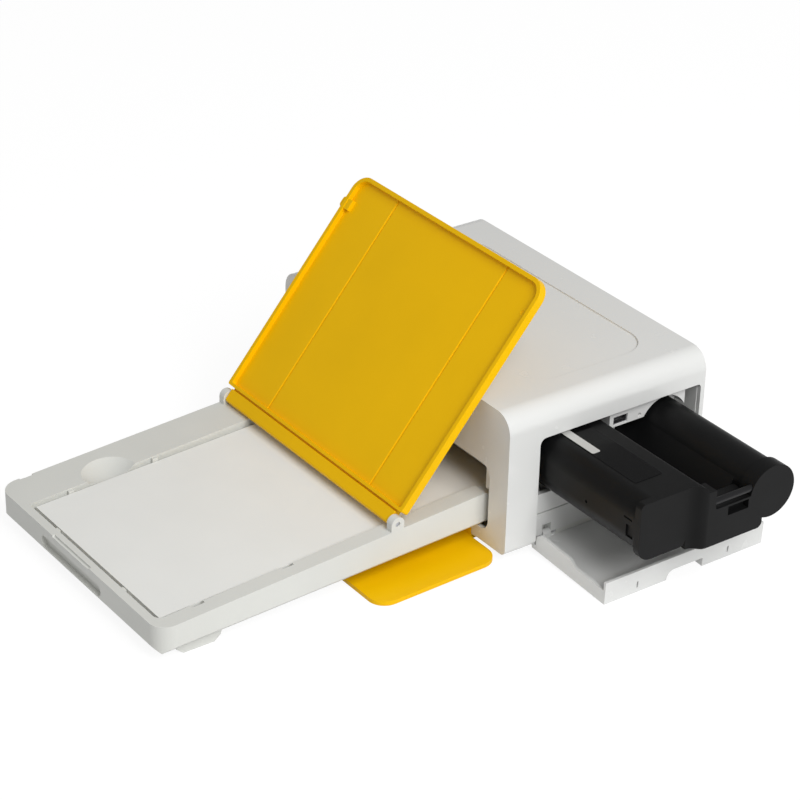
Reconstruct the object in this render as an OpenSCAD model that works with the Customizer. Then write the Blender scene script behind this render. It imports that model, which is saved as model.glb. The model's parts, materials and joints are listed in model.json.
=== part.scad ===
// Compact photo printer with its paper tray fitted, tray lid raised, front flap and
// cartridge door open and the ribbon cartridge drawn out part way.
// Origin: middle of the body's footprint on the table. +X is the cartridge side,
// -Y the tray side, +Z up. All lengths are in millimetres, all angles in degrees.

/* [Body] */
// Width of the body across the tray
body_w = 165.8; // [163:0.2:180]
// Depth of the body along the tray
body_d = 105.6; // [104.5:0.1:112]
// Height of the body's top above the table
body_h = 71; // [70:0.5:80]
// Height of the rubber feet
foot_h = 5; // [4.5:0.1:6]
// Wall of the moulded body
shell_wall = 2; // [1.6:0.1:2.4]
// Radius of the long upper edges
top_edge_r = 9; // [5:0.5:12]
// Radius of the long lower edges
low_edge_r = 3; // [1:0.5:4]
// Depth of the shallow dish in the top
dish_depth = 0.8; // [0.4:0.1:1.2]

/* [Tray] */
// Width of the paper tray
tray_w = 132; // [128:0.5:134]
// Shift of the tray from the middle of the body
tray_shift = 1; // [0:0.5:2]
// Reach of the tray in front of the body
tray_reach = 157; // [150:1:165]
// Height of the tray's upper edge at its front
tray_front_top = 17.5; // [16.5:0.25:18.5]
// Rise of the tray's upper edge for each millimetre of its length
tray_slope = 0.0655; // [0.062:0.0005:0.067]
// Height of the tray's underside at its front
tray_front_low = 5; // [4:0.25:6]
// Radius of the tray's front corners
tray_corner_r = 8; // [5:0.5:10]
// Thickness of the tray's front wall
tray_front_wall = 3.8; // [3:0.1:5]

/* [Paper] */
// Width of the photo paper
paper_w = 100; // [98:0.5:101]
// Length of the photo paper with its tear-off tabs
paper_len = 177; // [170:0.5:178]
// Thickness of the stack of paper
paper_stack_h = 5; // [2:0.5:5.5]

/* [Tray lid] */
// Length of the tray lid from its hinge
lid_len = 115; // [110:0.5:118]
// Lean of the open lid above the horizontal
lid_lean = 50.2; // [46:0.2:52]
// Thickness of the lid's plate
lid_t = 1.6; // [1.2:0.1:2]
// Depth of the rim round the lid
lid_rim = 2.3; // [1.8:0.1:2.4]

/* [Front flap] */
// Width of the front flap
flap_w = 161.2; // [150:0.5:164]
// Length of the front flap
flap_len = 61.5; // [55:0.5:62]
// Thickness of the front flap
flap_t = 2; // [1.6:0.1:2.2]
// Radius of the flap's corners
flap_corner_r = 8; // [4:0.5:12]

/* [Cartridge door] */
// Thickness of the door's plate
door_t = 2.4; // [2:0.1:2.6]
// Height of the door's end walls from its outer face
door_wall_h = 8.7; // [7:0.1:9]
// Thickness of the door's walls
door_wall_t = 1.4; // [1:0.1:1.5]

/* [Cartridge] */
// Length of the cartridge's housings
cart_len = 130; // [126:0.5:131]
// Travel of the cartridge from its place to where it is drawn out
cart_travel = 68.5; // [40:0.5:72]
// Width of the supply housing
supply_w = 25; // [24:0.25:26]
// Height of the supply housing
supply_h = 26.8; // [26:0.2:27]
// Radius of the take-up housing
takeup_r = 10.8; // [10:0.1:11.2]
// Wall of the cartridge's housings
cart_wall = 1.5; // [1.2:0.1:1.6]
// Radius of the reels' hubs
reel_hub_r = 4.2; // [4:0.1:4.6]

/* [Print mechanism] */
// Radius of the platen roller
platen_r = 8; // [7.5:0.1:8]
// Radius of the pick-up roller
pick_r = 7.2; // [6.5:0.1:7.4]
// Radius of the feed roller
feed_r = 4; // [3.5:0.1:4.2]
// Radius of the pinch roller
pinch_r = 2.6; // [2.2:0.1:2.8]
// Radius of the rollers' shafts
shaft_r = 2.5; // [2:0.1:2.8]
// Running clearance of shafts and pins in their bores
run_gap = 0.05; // [0.03:0.01:0.09]
// Thickness of the metal side plates
plate_t = 1.5; // [1.2:0.1:2]
// Turn of the print head from raised to printing
head_swing = 7; // [5:0.5:7]
// Module of the gears
gear_m = 0.8; // [0.78:0.01:0.8]
// Face width of the gears
gear_t = 4; // [3:0.25:4.5]

/* [Hidden] */
$fn = 64;
eps = 0.01;
seat = 0.3;

// ---- Colours ----
white = [0.93, 0.93, 0.92];
tray_white = [0.86, 0.86, 0.84];
yellow = [0.88, 0.68, 0.05];
black = [0.13, 0.13, 0.14];
steel = [0.66, 0.67, 0.69];
rubber = [0.2, 0.2, 0.2];
nylon = [0.85, 0.83, 0.76];

// ---- Body faces ----
right_x = body_w / 2;
left_x = -right_x;
front_y = -body_d / 2;
rear_y = body_d / 2;
base_top = foot_h + shell_wall;
inner_top = body_h - shell_wall;

// ---- Front opening ----
mouth_half = tray_w / 2 + 3.5;
mouth_low = base_top + 4;
mouth_top = 42;
mouth_r = 5;

// ---- Cartridge door opening in the right side ----
bay_y0 = front_y + 16.3;
bay_y1 = rear_y - 2.2;
bay_top = body_h - 14.8;

// ---- Tray ----
tray_x0 = tray_shift - tray_w / 2;
tray_x1 = tray_shift + tray_w / 2;
tray_y0 = front_y - tray_reach;
tray_wall_y1 = front_y + 12.8;
tray_tongue_y1 = front_y + 30;
tray_inner_top = 27;
tray_low_slope = 0.0446;
tray_pitch = atan(tray_slope);
tray_low_pitch = atan(tray_low_slope);
function tray_top(y) = tray_front_top + (y - tray_y0) * tray_slope;
function tray_low(y) = tray_front_low + (y - tray_y0) * tray_low_slope;

// ---- Paper in the tray ----
paper_gap = 2;
paper_side = 25.4;
paper_x1 = right_x - paper_side;
paper_x0 = paper_x1 - paper_w;
paper_y0 = tray_y0 + tray_front_wall + paper_gap;
paper_slope = 0.0545;
paper_pitch = atan(paper_slope);
paper_front_top = tray_front_top - 0.7;
function paper_top(y) = paper_front_top + (y - paper_y0) * paper_slope;
well_x0 = paper_x0 - 2;
well_x1 = paper_x1 + 1.8;
well_y0 = tray_y0 + tray_front_wall;

// ---- Lid hinge ----
lid_hinge_y = front_y - 43.6;
lid_hinge_z = tray_top(lid_hinge_y) + lid_rim + 0.5;
lid_ear_r = 3.2;
lid_pin_r = 1.1;
lid_ear_w = 3.6;
lid_x0 = tray_x0 + lid_ear_w + 0.4;
lid_x1 = tray_x1 - lid_ear_w - 0.4;

// ---- Flap hinge ----
flap_hinge_y = front_y + 1.8;
flap_hinge_z = foot_h + 0.9;
flap_face = flap_hinge_y - (front_y - seat - flap_t);
flap_near = 2.2;
flap_tilt = asin((flap_hinge_z - flap_face - 0.05) / (flap_near + flap_len));
flap_lug_x = 57;
flap_lug_w = 5;
hinge_pin_r = 1;
lug_eye_r = 1.9;
boss_w = 3;

// ---- Door hinge ----
door_hinge_x = right_x - 3.9;
door_hinge_z = foot_h + 1.6;
door_face = right_x - door_hinge_x;
door_near = 1.2;
door_edge_gap = 0.2;
door_far = bay_top - door_edge_gap - door_hinge_z;
door_tilt = 90 + asin((door_hinge_z - door_face - 0.05) / door_far);
door_y0 = bay_y0 + 0.4;
door_y1 = bay_y1 - 0.4;
door_lug_y = [bay_y0 + 8, bay_y1 - 8];
door_lug_w = 4;
sill_x1 = right_x - 3;
sill_x0 = sill_x1 - 5.4;
sill_top = foot_h + 12.7;

// ---- Cartridge, at rest drawn out ----
home_gap = 2.9;
waist_out = 4;
home_x1 = right_x - home_gap;
cart_x1 = home_x1 - waist_out + cart_travel;
cart_x0 = cart_x1 - cart_len;
supply_y0 = front_y + 18.4;
supply_y1 = supply_y0 + supply_w;
supply_z0 = foot_h + 23;
supply_z1 = supply_z0 + supply_h;
supply_cy = (supply_y0 + supply_y1) / 2;
supply_cz = supply_z0 + supply_h / 2;
takeup_y = supply_y1 + 42.4;
takeup_z = supply_z0 + 13.5;
takeup_disk_r = takeup_r + 1.2;
reel_gap = 0.8;
web_z = supply_z0 + 0.8;
web_t = 0.25;
shoulder_y1 = supply_y1 + 7.2;
waist_y0 = supply_y1 + 8;
waist_y1 = takeup_y - 4.4;
waist_z0 = supply_z0 - 2;
waist_z1 = supply_z0 + 24;
recess_y0 = supply_y1 + 11.4;
recess_y1 = supply_y1 + 31.7;
recess_z = supply_z0 + 15;
end_cap_t = 3.5;
waist_in = 7.5;

// ---- Side plates, from the cartridge's place when it is home ----
home_x0 = cart_x0 - cart_travel;
drive_plate_x1 = home_x0 - 2.5;
drive_plate_x0 = drive_plate_x1 - plate_t;
gear_x1 = drive_plate_x0 - 1.6;
gear_x0 = gear_x1 - gear_t;
gearbox_x1 = gear_x0 - 1;
gearbox_x0 = gearbox_x1 - plate_t;
frame_x1 = home_x1 - 12.5;
frame_x0 = frame_x1 - 2;

// ---- Shaft places in Y and Z ----
platen_y = supply_y1 + 16.4;
platen_z = web_z - 1 - platen_r;
feed_y = platen_y + 36.7;
feed_z = platen_z + 3.65;
pick_y = platen_y - 50;
pick_z = platen_z + 16;
head_y = feed_y + 2.2;
head_z = takeup_z + 19.5;

// ---- Gear train ----
platen_teeth = 24;
middle_teeth = 27;
feed_teeth = 14;
takeup_teeth = 24;
transfer_teeth = 46;
pick_teeth = 15;
pinion_teeth = 12;
mesh_gap = 0.03;
function pitch_r(teeth) = gear_m * teeth / 2;
function reach(a, b) = pitch_r(a) + pitch_r(b) + mesh_gap;
function angle_to(a, b) = atan2(b[1] - a[1], b[0] - a[0]);
function step_to(a, angle, length) = [a[0] + length * cos(angle), a[1] + length * sin(angle)];
function mesh_phase(angle, phase, teeth_a, teeth_b) =
    angle + 180 - (phase - angle) * teeth_a / teeth_b - 180 / teeth_b;
platen_at = [platen_y, platen_z];
feed_at = [feed_y, feed_z];
pick_at = [pick_y, pick_z];
takeup_at = [takeup_y, takeup_z];
feed_angle = angle_to(platen_at, feed_at);
pick_angle = angle_to(platen_at, pick_at);
pinion_angle = 75;
middle_at = step_to(platen_at, feed_angle, reach(platen_teeth, middle_teeth));
transfer_at = step_to(platen_at, pick_angle, reach(platen_teeth, transfer_teeth));
pinion_at = step_to(platen_at, pinion_angle, reach(platen_teeth, pinion_teeth));
takeup_angle = angle_to(middle_at, takeup_at);
platen_phase = 0;
middle_phase = mesh_phase(feed_angle, platen_phase, platen_teeth, middle_teeth);
feed_phase = mesh_phase(feed_angle, middle_phase, middle_teeth, feed_teeth);
takeup_phase = mesh_phase(takeup_angle, middle_phase, middle_teeth, takeup_teeth);
transfer_phase = mesh_phase(pick_angle, platen_phase, platen_teeth, transfer_teeth);
pick_phase = mesh_phase(pick_angle, transfer_phase, transfer_teeth, pick_teeth);
pinion_phase = mesh_phase(pinion_angle, platen_phase, platen_teeth, pinion_teeth);

// ---- Extrusions along the axes ----
// Outline drawn in Y and Z, from x0 to x1
module yz(x0, x1) {
    translate([x0, 0, 0]) rotate([90, 0, 90]) linear_extrude(x1 - x0) children();
}
// Outline drawn in X and Z, from y0 to y1
module xz(y0, y1) {
    translate([0, y1, 0]) rotate([90, 0, 0]) linear_extrude(y1 - y0) children();
}
// Outline drawn in X and Y, from z0 to z1
module xy(z0, z1) {
    translate([0, 0, z0]) linear_extrude(z1 - z0) children();
}
module rod_x(x0, x1, r, y, z) {
    yz(x0, x1) translate([y, z]) circle(r);
}
module block(low, high) {
    translate(low) cube([high[0] - low[0], high[1] - low[1], high[2] - low[2]]);
}
// Rectangle with corner radii [low left, low right, high right, high left]
module rect(a0, b0, a1, b1, r = [0, 0, 0, 0]) {
    difference() {
        translate([a0, b0]) square([a1 - a0, b1 - b0]);
        if (r[0] > 0) corner_off(a0, b0, 1, 1, r[0]);
        if (r[1] > 0) corner_off(a1, b0, -1, 1, r[1]);
        if (r[2] > 0) corner_off(a1, b1, -1, -1, r[2]);
        if (r[3] > 0) corner_off(a0, b1, 1, -1, r[3]);
    }
}
// What a round of radius r takes off a corner that opens towards (sa, sb)
module corner_off(a, b, sa, sb, r) {
    translate([a + sa * r, b + sb * r]) difference() {
        rotate(atan2(-sb, -sa) - 45) square(r + eps);
        circle(r);
    }
}
// Gear outline with straight-sided teeth and a round bore
module gear_shape(teeth, bore, phase) {
    tip = pitch_r(teeth) + 0.75 * gear_m;
    root = pitch_r(teeth) - gear_m;
    step = 360 / teeth;
    difference() {
        polygon([for (i = [0:teeth - 1]) each [
            [root * cos(phase + i * step - 0.36 * step), root * sin(phase + i * step - 0.36 * step)],
            [tip * cos(phase + i * step - 0.12 * step), tip * sin(phase + i * step - 0.12 * step)],
            [tip * cos(phase + i * step + 0.12 * step), tip * sin(phase + i * step + 0.12 * step)],
            [root * cos(phase + i * step + 0.36 * step), root * sin(phase + i * step + 0.36 * step)]]]);
        circle(bore);
    }
}
module gear(at, teeth, bore, phase) {
    yz(gear_x0, gear_x1) translate(at) gear_shape(teeth, bore, phase);
}

// ---- Body ----
module shell_outline(inset) {
    rect(left_x + inset, foot_h + inset, right_x - inset, body_h - inset,
        [max(low_edge_r - inset, 0.5), max(low_edge_r - inset, 0.5),
            top_edge_r - inset, top_edge_r - inset]);
}
flange_x = right_x - 7;
button_x = left_x + 35;
button_y = front_y + 18;
button_r = 5.5;
dish_r = 14;
jack_x = left_x + 10;
jack_z = foot_h + 15;
jack_r = 4;
board_y0 = front_y + 5;
board_y1 = board_y0 + 44;
board_z0 = foot_h + 8;
board_z1 = board_z0 + 46;
board_gap = 1.5;
module shell_hollow() difference() {
    xz(front_y, rear_y) shell_outline(0);
    // hollow behind the front wall, and the opening for the base
    xz(front_y + shell_wall, rear_y + 1) shell_outline(shell_wall);
    block([-flange_x, front_y + shell_wall, foot_h - 1], [flange_x, rear_y + 1, base_top + 1]);
    // tray mouth
    xz(front_y - 1, front_y + shell_wall + 1)
        rect(tray_shift - mouth_half, mouth_low, tray_shift + mouth_half, mouth_top,
            [mouth_r, mouth_r, mouth_r, mouth_r]);
    // slots for the flap's lugs
    for (side = [-1, 1])
        block([side * flap_lug_x - flap_lug_w / 2 - seat, front_y - 1, foot_h - 1],
            [side * flap_lug_x + flap_lug_w / 2 + seat, front_y + shell_wall + 1, foot_h + 3.2]);
    // bores for the flap's pins
    for (side = [-1, 1])
        rod_x(side * flap_lug_x - flap_lug_w / 2 - boss_w - seat,
            side * flap_lug_x + flap_lug_w / 2 + boss_w + seat,
            hinge_pin_r + 0.01, flap_hinge_y, flap_hinge_z);
    // cartridge door opening, open at the bottom
    block([flange_x - 1, bay_y0, foot_h - 1], [right_x + 1, bay_y1, base_top + 1]);
    yz(right_x - shell_wall - 1, right_x + 1)
        rect(bay_y0, foot_h - 1, bay_y1, bay_top, [0, 0, 2, 3]);
    // shallow dish and the button's hole in the top
    xy(body_h - dish_depth, body_h + 1)
        rect(left_x + 18, front_y + 25, right_x - 18, rear_y - 16, [dish_r, dish_r, dish_r, dish_r]);
    translate([button_x, button_y, inner_top - 1]) cylinder(r = button_r + 0.35, h = shell_wall + 2);
}
button_tube_r = button_r + 2.4;
button_tube_h = 8;
module outer_shell() color(white) {
    shell_hollow();
    // bosses that hold the flap's pins
    for (side = [-1, 1], step = [-1, 1])
        flap_boss(side * flap_lug_x + step * (flap_lug_w + boss_w + 2 * seat) / 2);
    // bosses for the circuit board on the left wall
    for (y = [board_y0 + 4, board_y1 - 4], z = [board_z0 + 4, board_z1 - 4])
        difference() {
            rod_x(left_x + shell_wall - eps, left_x + shell_wall + board_gap, 2.5, y, z);
            rod_x(left_x + shell_wall, left_x + shell_wall + board_gap + 1, 1, y, z);
        }
    // tube round the power button
    translate([button_x, button_y, inner_top - button_tube_h]) difference() {
        cylinder(r = button_tube_r, h = button_tube_h + eps);
        translate([0, 0, -1]) cylinder(r = button_r + 0.9, h = button_tube_h + 2);
    }
}
module flap_boss(x) difference() {
    block([x - boss_w / 2, front_y + 0.2, foot_h - 0.6],
        [x + boss_w / 2, flap_hinge_y + 1.8, foot_h + 3]);
    rod_x(x - boss_w, x + boss_w, hinge_pin_r + 0.01, flap_hinge_y, flap_hinge_z);
}

panel_in = 0.5;
rear_slot_z = feed_z + feed_r + 0.3;
module rear_panel() color(white) difference() {
    xz(rear_y - panel_in - shell_wall, rear_y - panel_in)
        rect(left_x + shell_wall + 0.15, base_top + 0.1, right_x - shell_wall - 0.15, inner_top - 0.15,
            [0, 0, top_edge_r - shell_wall, top_edge_r - shell_wall]);
    // paper slot
    xz(rear_y - 5, rear_y + 1)
        rect(paper_x0 - 3, rear_slot_z - 3, paper_x1 + 3, rear_slot_z + 3, [1.5, 1.5, 1.5, 1.5]);
    // power inlet
    xz(rear_y - 5, rear_y + 1) translate([jack_x, jack_z]) circle(jack_r + 0.4);
    // vents
    for (i = [0:8]) xz(rear_y - 5, rear_y + 1)
        rect(-30 + i * 8, body_h - 23, -26 + i * 8, body_h - 9, [1.9, 1.9, 1.9, 1.9]);
}

base_x = flange_x - 0.15;
base_y0 = front_y + shell_wall + 0.15;
base_y1 = rear_y - panel_in - shell_wall - 0.15;
foot_x = right_x - 22;
foot_dy = 12;
foot_r = 6;
screw_x = right_x - 34;
screw_y = front_y + 14;
sill_lip_t = 1.2;
sill_lip_h = 1.4;
module base_plate() color(tray_white) difference() {
    union() {
        block([-base_x, base_y0, foot_h], [base_x, base_y1, base_top]);
        block([base_x - 1, bay_y0 + 0.4, foot_h], [sill_x1, base_y1, base_top]);
        // lip that closes the gap to the open door
        block([sill_x1 - sill_lip_t, bay_y0 + 0.6, foot_h - sill_lip_h], [sill_x1, base_y1, base_top]);
    }
    // bosses' screw holes
    for (sx = [-1, 1], y = [screw_y, -screw_y])
        translate([sx * screw_x, y, foot_h - 1]) {
            cylinder(r = 1.6, h = shell_wall + 2);
            cylinder(r = 3.1, h = 2);
        }
    // room for the door's lugs and the ears beside them
    for (y = door_lug_y)
        block([door_hinge_x - 3.2, y - door_ear, foot_h - sill_lip_h - 1],
            [sill_x1 + 1, y + door_ear, base_top + 1]);
    // room for the flap's lugs and the bosses beside them
    for (side = [-1, 1])
        block([side * flap_lug_x - flap_lug_w / 2 - boss_w - 3 * seat, base_y0 - 1, foot_h - 1],
            [side * flap_lug_x + flap_lug_w / 2 + boss_w + 3 * seat, flap_hinge_y + 2.4, base_top + 1]);
    // floor vents
    for (i = [0:5]) xy(foot_h - 1, base_top + 1)
        rect(-32.5 + i * 12, 22, -29.5 + i * 12, 40, [1.4, 1.4, 1.4, 1.4]);
}
module rubber_feet() color(rubber)
    for (sx = [-1, 1], y = [front_y + foot_dy, rear_y - foot_dy])
        translate([sx * foot_x, y, 0]) rotate_extrude()
            polygon([[0, 0], [foot_r - 1, 0], [foot_r, 1], [foot_r, foot_h], [0, foot_h]]);
module base_screws() color(steel)
    for (sx = [-1, 1], y = [screw_y, -screw_y])
        translate([sx * screw_x, y, foot_h - 0.6]) difference() {
            union() {
                cylinder(r = 2.8, h = 1.6);
                cylinder(r = 1.45, h = 6.5);
            }
            translate([0, 0, -1]) cylinder(r = 1.3, h = 1.8, $fn = 6);
        }

door_ear = door_lug_w / 2 + seat + 3;
module door_sill() color(white) difference() {
    union() {
        block([sill_x0, bay_y0 + 0.6, base_top], [sill_x1, base_y1, sill_top]);
        for (y = door_lug_y)
            block([door_hinge_x - 3.1, y - door_ear + 0.1, foot_h],
                [sill_x1, y + door_ear - 0.1, base_top + eps]);
    }
    for (y = door_lug_y) {
        block([door_hinge_x - 3.2, y - door_lug_w / 2 - seat, foot_h - 1],
            [sill_x1 + 1, y + door_lug_w / 2 + seat, door_hinge_z + 5]);
        translate([door_hinge_x, y - door_ear, door_hinge_z]) rotate([-90, 0, 0])
            cylinder(r = hinge_pin_r + 0.01, h = 2 * door_ear);
    }
    // hollow behind
    block([sill_x0 - 1, door_lug_y[0] + 8, base_top + 2],
        [sill_x1 - 2, door_lug_y[1] - 8, sill_top - 2]);
}
module door_hinge_pins() color(steel)
    for (y = door_lug_y)
        translate([door_hinge_x, y - door_ear + seat, door_hinge_z]) rotate([-90, 0, 0])
            cylinder(r = hinge_pin_r, h = 2 * (door_ear - seat));

// White panel behind the door, open where the cartridge passes
panel_t = 2.6;
panel_top = bay_top - door_edge_gap - door_wall_t - seat;
disk_gap = 0.7;
finger_z = supply_z0 + 14;
module inner_side_panel() color(white) difference() {
    yz(sill_x1 - panel_t, sill_x1) difference() {
        rect(bay_y0 + 2, sill_top, bay_y1 - 2.1, panel_top);
        // cartridge passage
        rect(bay_y0 - 1, supply_z0 - disk_gap, supply_y1 + 2.2, bay_top);
        rect(supply_y1 - disk_gap, waist_z0 - disk_gap, waist_y1 + disk_gap, bay_top);
        translate([takeup_y, takeup_z]) circle(takeup_disk_r + disk_gap);
        // room over the take-up end and for a finger beside it
        rect(waist_y1 - 1, finger_z, bay_y1, bay_top);
    }
    // groove along the sill
    block([sill_x1 - 1, bay_y0, sill_top - 1], [sill_x1 + 1, bay_y1, sill_top + 0.4]);
}

// Moulded frame that the cartridge slides through, with the arm that carries the service port
port_y0 = supply_y1 + 12.2;
port_y1 = supply_y1 + 30.8;
port_z0 = recess_z + 4.6;
port_z1 = panel_top;
port_arm_y1 = takeup_y + 11.4;
port_cy = port_y0 + 6;
port_w = 7.6;
port_h = 3.8;
port_in = sill_x1 - 7;
pass_gap = 0.6;
module bay_outline() difference() {
    rect(base_y0 + 0.2, base_top, base_y1 - 0.1, inner_top - 2);
    // tray
    rect(base_y0 - 1, base_top - 1, tray_wall_y1 + 0.7, tray_inner_top + 2.4);
    // housings and ribbon
    rect(supply_y0 - pass_gap, supply_z0 - pass_gap, supply_y1 + pass_gap, supply_z1 + pass_gap);
    translate([takeup_y, takeup_z]) circle(takeup_r + pass_gap);
    rect(supply_y1, web_z - pass_gap, takeup_y, web_z + web_t + pass_gap);
    rect(takeup_y - 9, web_z - pass_gap, takeup_y - 3, takeup_z - 6);
    shoulder_outline(-pass_gap);
    skirt_outline(pass_gap);
    // bores
    for (at = [platen_at, feed_at, pick_at]) translate(at) circle(shaft_r + run_gap);
    translate([head_y, head_z]) circle(head_rod_r + 0.01);
    translate([feed_y, pinch_z]) circle(pinch_pin_r + run_gap);
}
module bay_frame() color(white) {
    yz(frame_x0, frame_x1) bay_outline();
    difference() {
        yz(frame_x1 - eps, sill_x1) difference() {
            rect(port_y0, port_z0, port_arm_y1, port_z1);
            translate([takeup_y, takeup_z]) circle(takeup_disk_r + disk_gap);
        }
        block([port_in, port_cy - port_w / 2, port_z0 + 0.8],
            [sill_x1 + 1, port_cy + port_w / 2, port_z0 + 0.8 + port_h]);
        // sight hole beside the port
        rod_x(sill_x1 - 3, sill_x1 + 1, 0.9, port_y1 - 2.2, port_z0 + 1.8);
    }
}
module service_port() color(steel) difference() {
    block([port_in + 0.05, port_cy - port_w / 2 + 0.05, port_z0 + 0.85],
        [sill_x1 - 0.6, port_cy + port_w / 2 - 0.05, port_z0 + 0.75 + port_h]);
    difference() {
        block([port_in + 1, port_cy - port_w / 2 + 0.4, port_z0 + 1.2],
            [sill_x1, port_cy + port_w / 2 - 0.4, port_z0 + 0.4 + port_h]);
        // tongue with the contacts
        block([port_in + 0.5, port_cy - port_w / 2 + 1.2, port_z0 + 2.2],
            [sill_x1 - 1.2, port_cy + port_w / 2 - 2.2, port_z0 + 3.2]);
    }
}

// ---- Power button ----
button_proud = 0.5;
button_travel = 1.2;
button_flange_z = inner_top - 3;
switch_z = inner_top - button_tube_h;
module power_button() color(white) translate([button_x, button_y, 0]) {
    translate([0, 0, button_flange_z]) difference() {
        cylinder(r = button_r, h = body_h + button_proud - button_flange_z);
        translate([0, 0, -1]) cylinder(r = button_r - 1.2, h = 2.2);
    }
    translate([0, 0, switch_z + 2.4]) cylinder(r = 1, h = button_flange_z - switch_z - 1);
}
spring_turns = 4;
spring_r = 3.2;
spring_wire = 0.35;
spring_sides = 6;
spring_steps = 14;
module button_spring() color(steel) translate([button_x, button_y, 0]) {
    low = switch_z + spring_wire + 0.05;
    high = button_flange_z + 1.2 - spring_wire - 0.05;
    count = spring_turns * spring_steps;
    points = [for (i = [0:count], j = [0:spring_sides - 1])
        let (turn = i * 360 / spring_steps, side = j * 360 / spring_sides,
            r = spring_r + spring_wire * cos(side))
            [r * cos(turn), r * sin(turn), low + (high - low) * i / count + spring_wire * sin(side)]];
    walls = [for (i = [0:count - 1], j = [0:spring_sides - 1])
        let (a = i * spring_sides + j, b = i * spring_sides + (j + 1) % spring_sides)
            [a, a + spring_sides, b + spring_sides, b]];
    first = [for (j = [0:spring_sides - 1]) j];
    last = [for (j = [spring_sides - 1:-1:0]) count * spring_sides + j];
    polyhedron(points, concat(walls, [first, last]));
}
module switch_board() color([0.1, 0.35, 0.2]) translate([button_x, button_y, switch_z - 1.6]) {
    cylinder(r = button_tube_r, h = 1.6);
    translate([0, 0, 1.6]) cylinder(r = 2, h = 1);
}

// ---- Front flap ----
module flap_place() {
    translate([0, flap_hinge_y, flap_hinge_z]) rotate([90 + flap_tilt, 0, 0]) children();
}
module front_flap() color(yellow) flap_place() difference() {
    union() {
        xz(-flap_face, flap_t - flap_face)
            rect(-flap_w / 2, flap_near, flap_w / 2, flap_near + flap_len,
                [flap_corner_r, flap_corner_r, flap_corner_r, flap_corner_r]);
        // lugs with their eyes
        for (side = [-1, 1])
            yz(side * flap_lug_x - flap_lug_w / 2, side * flap_lug_x + flap_lug_w / 2) {
                circle(lug_eye_r);
                rect(-flap_face, -lug_eye_r, 0, lug_eye_r, [1, 0, 0, 0]);
                rect(-flap_face, 0, flap_t - flap_face, flap_near + 1);
            }
    }
    for (side = [-1, 1])
        rod_x(side * flap_lug_x - flap_lug_w, side * flap_lug_x + flap_lug_w,
            hinge_pin_r + run_gap, 0, 0);
    // finger notch in the free edge's inner face
    xz(flap_t - flap_face - 0.8, flap_t - flap_face + 1)
        rect(-14, flap_near + flap_len - 5, 14, flap_near + flap_len + 1, [2, 2, 0, 0]);
}
module flap_hinge_pins() color(steel)
    for (side = [-1, 1])
        rod_x(side * flap_lug_x - flap_lug_w / 2 - boss_w, side * flap_lug_x + flap_lug_w / 2 + boss_w,
            hinge_pin_r, flap_hinge_y, flap_hinge_z);

// ---- Cartridge door ----
door_step = 27.6;
door_low_wall = 6.4;
door_end_wall = 10.6;
notch_half = 9.7;
notch_h = 4.2;
notch_r = 3.8;
notch_in = 5;
slit_y = [door_y0 + 17.4, door_y1 - 19.4];
slit_w = 0.8;
module door_place() {
    translate([door_hinge_x, 0, door_hinge_z]) rotate([0, door_tilt, 0]) children();
}
// Drawn closed: X out of the body from the hinge, Z up from the hinge
module cartridge_door() color(white) door_place() difference() {
    union() {
        block([door_face - door_t, door_y0, door_near], [door_face, door_y1, door_far]);
        // end walls, lower towards the free edge
        for (y = [door_y0, door_y1 - door_wall_t]) xz(y, y + door_wall_t)
            polygon([[door_face - door_t + eps, door_near + 2.5],
                [door_face - door_wall_h + 2, door_near + 2.5],
                [door_face - door_wall_h, door_near + 5], [door_face - door_wall_h, door_step - 2],
                [door_face - door_low_wall, door_step + 2], [door_face - door_low_wall, door_far],
                [door_face - door_t + eps, door_far]]);
        // wall along the free edge
        block([door_face - door_end_wall, door_y0, door_far - door_wall_t],
            [door_face, door_y1, door_far]);
        // lugs
        for (y = door_lug_y) xz(y - door_lug_w / 2, y + door_lug_w / 2) {
            circle(lug_eye_r);
            rect(0, -lug_eye_r, door_face, lug_eye_r, [0, 1, 0, 0]);
            rect(door_face - door_t, 0, door_face, door_near + 1);
        }
    }
    for (y = door_lug_y) translate([0, y - door_lug_w, 0]) rotate([-90, 0, 0])
        cylinder(r = hinge_pin_r + run_gap, h = 2 * door_lug_w);
    // finger notch in the free edge, rounded at one end
    xy(door_far - notch_in, door_far + 1)
        rect(door_face - notch_h, (door_y0 + door_y1) / 2 - notch_half, door_face + 1,
            (door_y0 + door_y1) / 2 + notch_half, [notch_r, 0, 0, 0]);
    // slits in the free edge's wall
    for (y = slit_y)
        block([door_face - 5.2, y - slit_w / 2, door_far - door_wall_t - 1],
            [door_face - door_t + 0.2, y + slit_w / 2, door_far + 1]);
}

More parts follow.
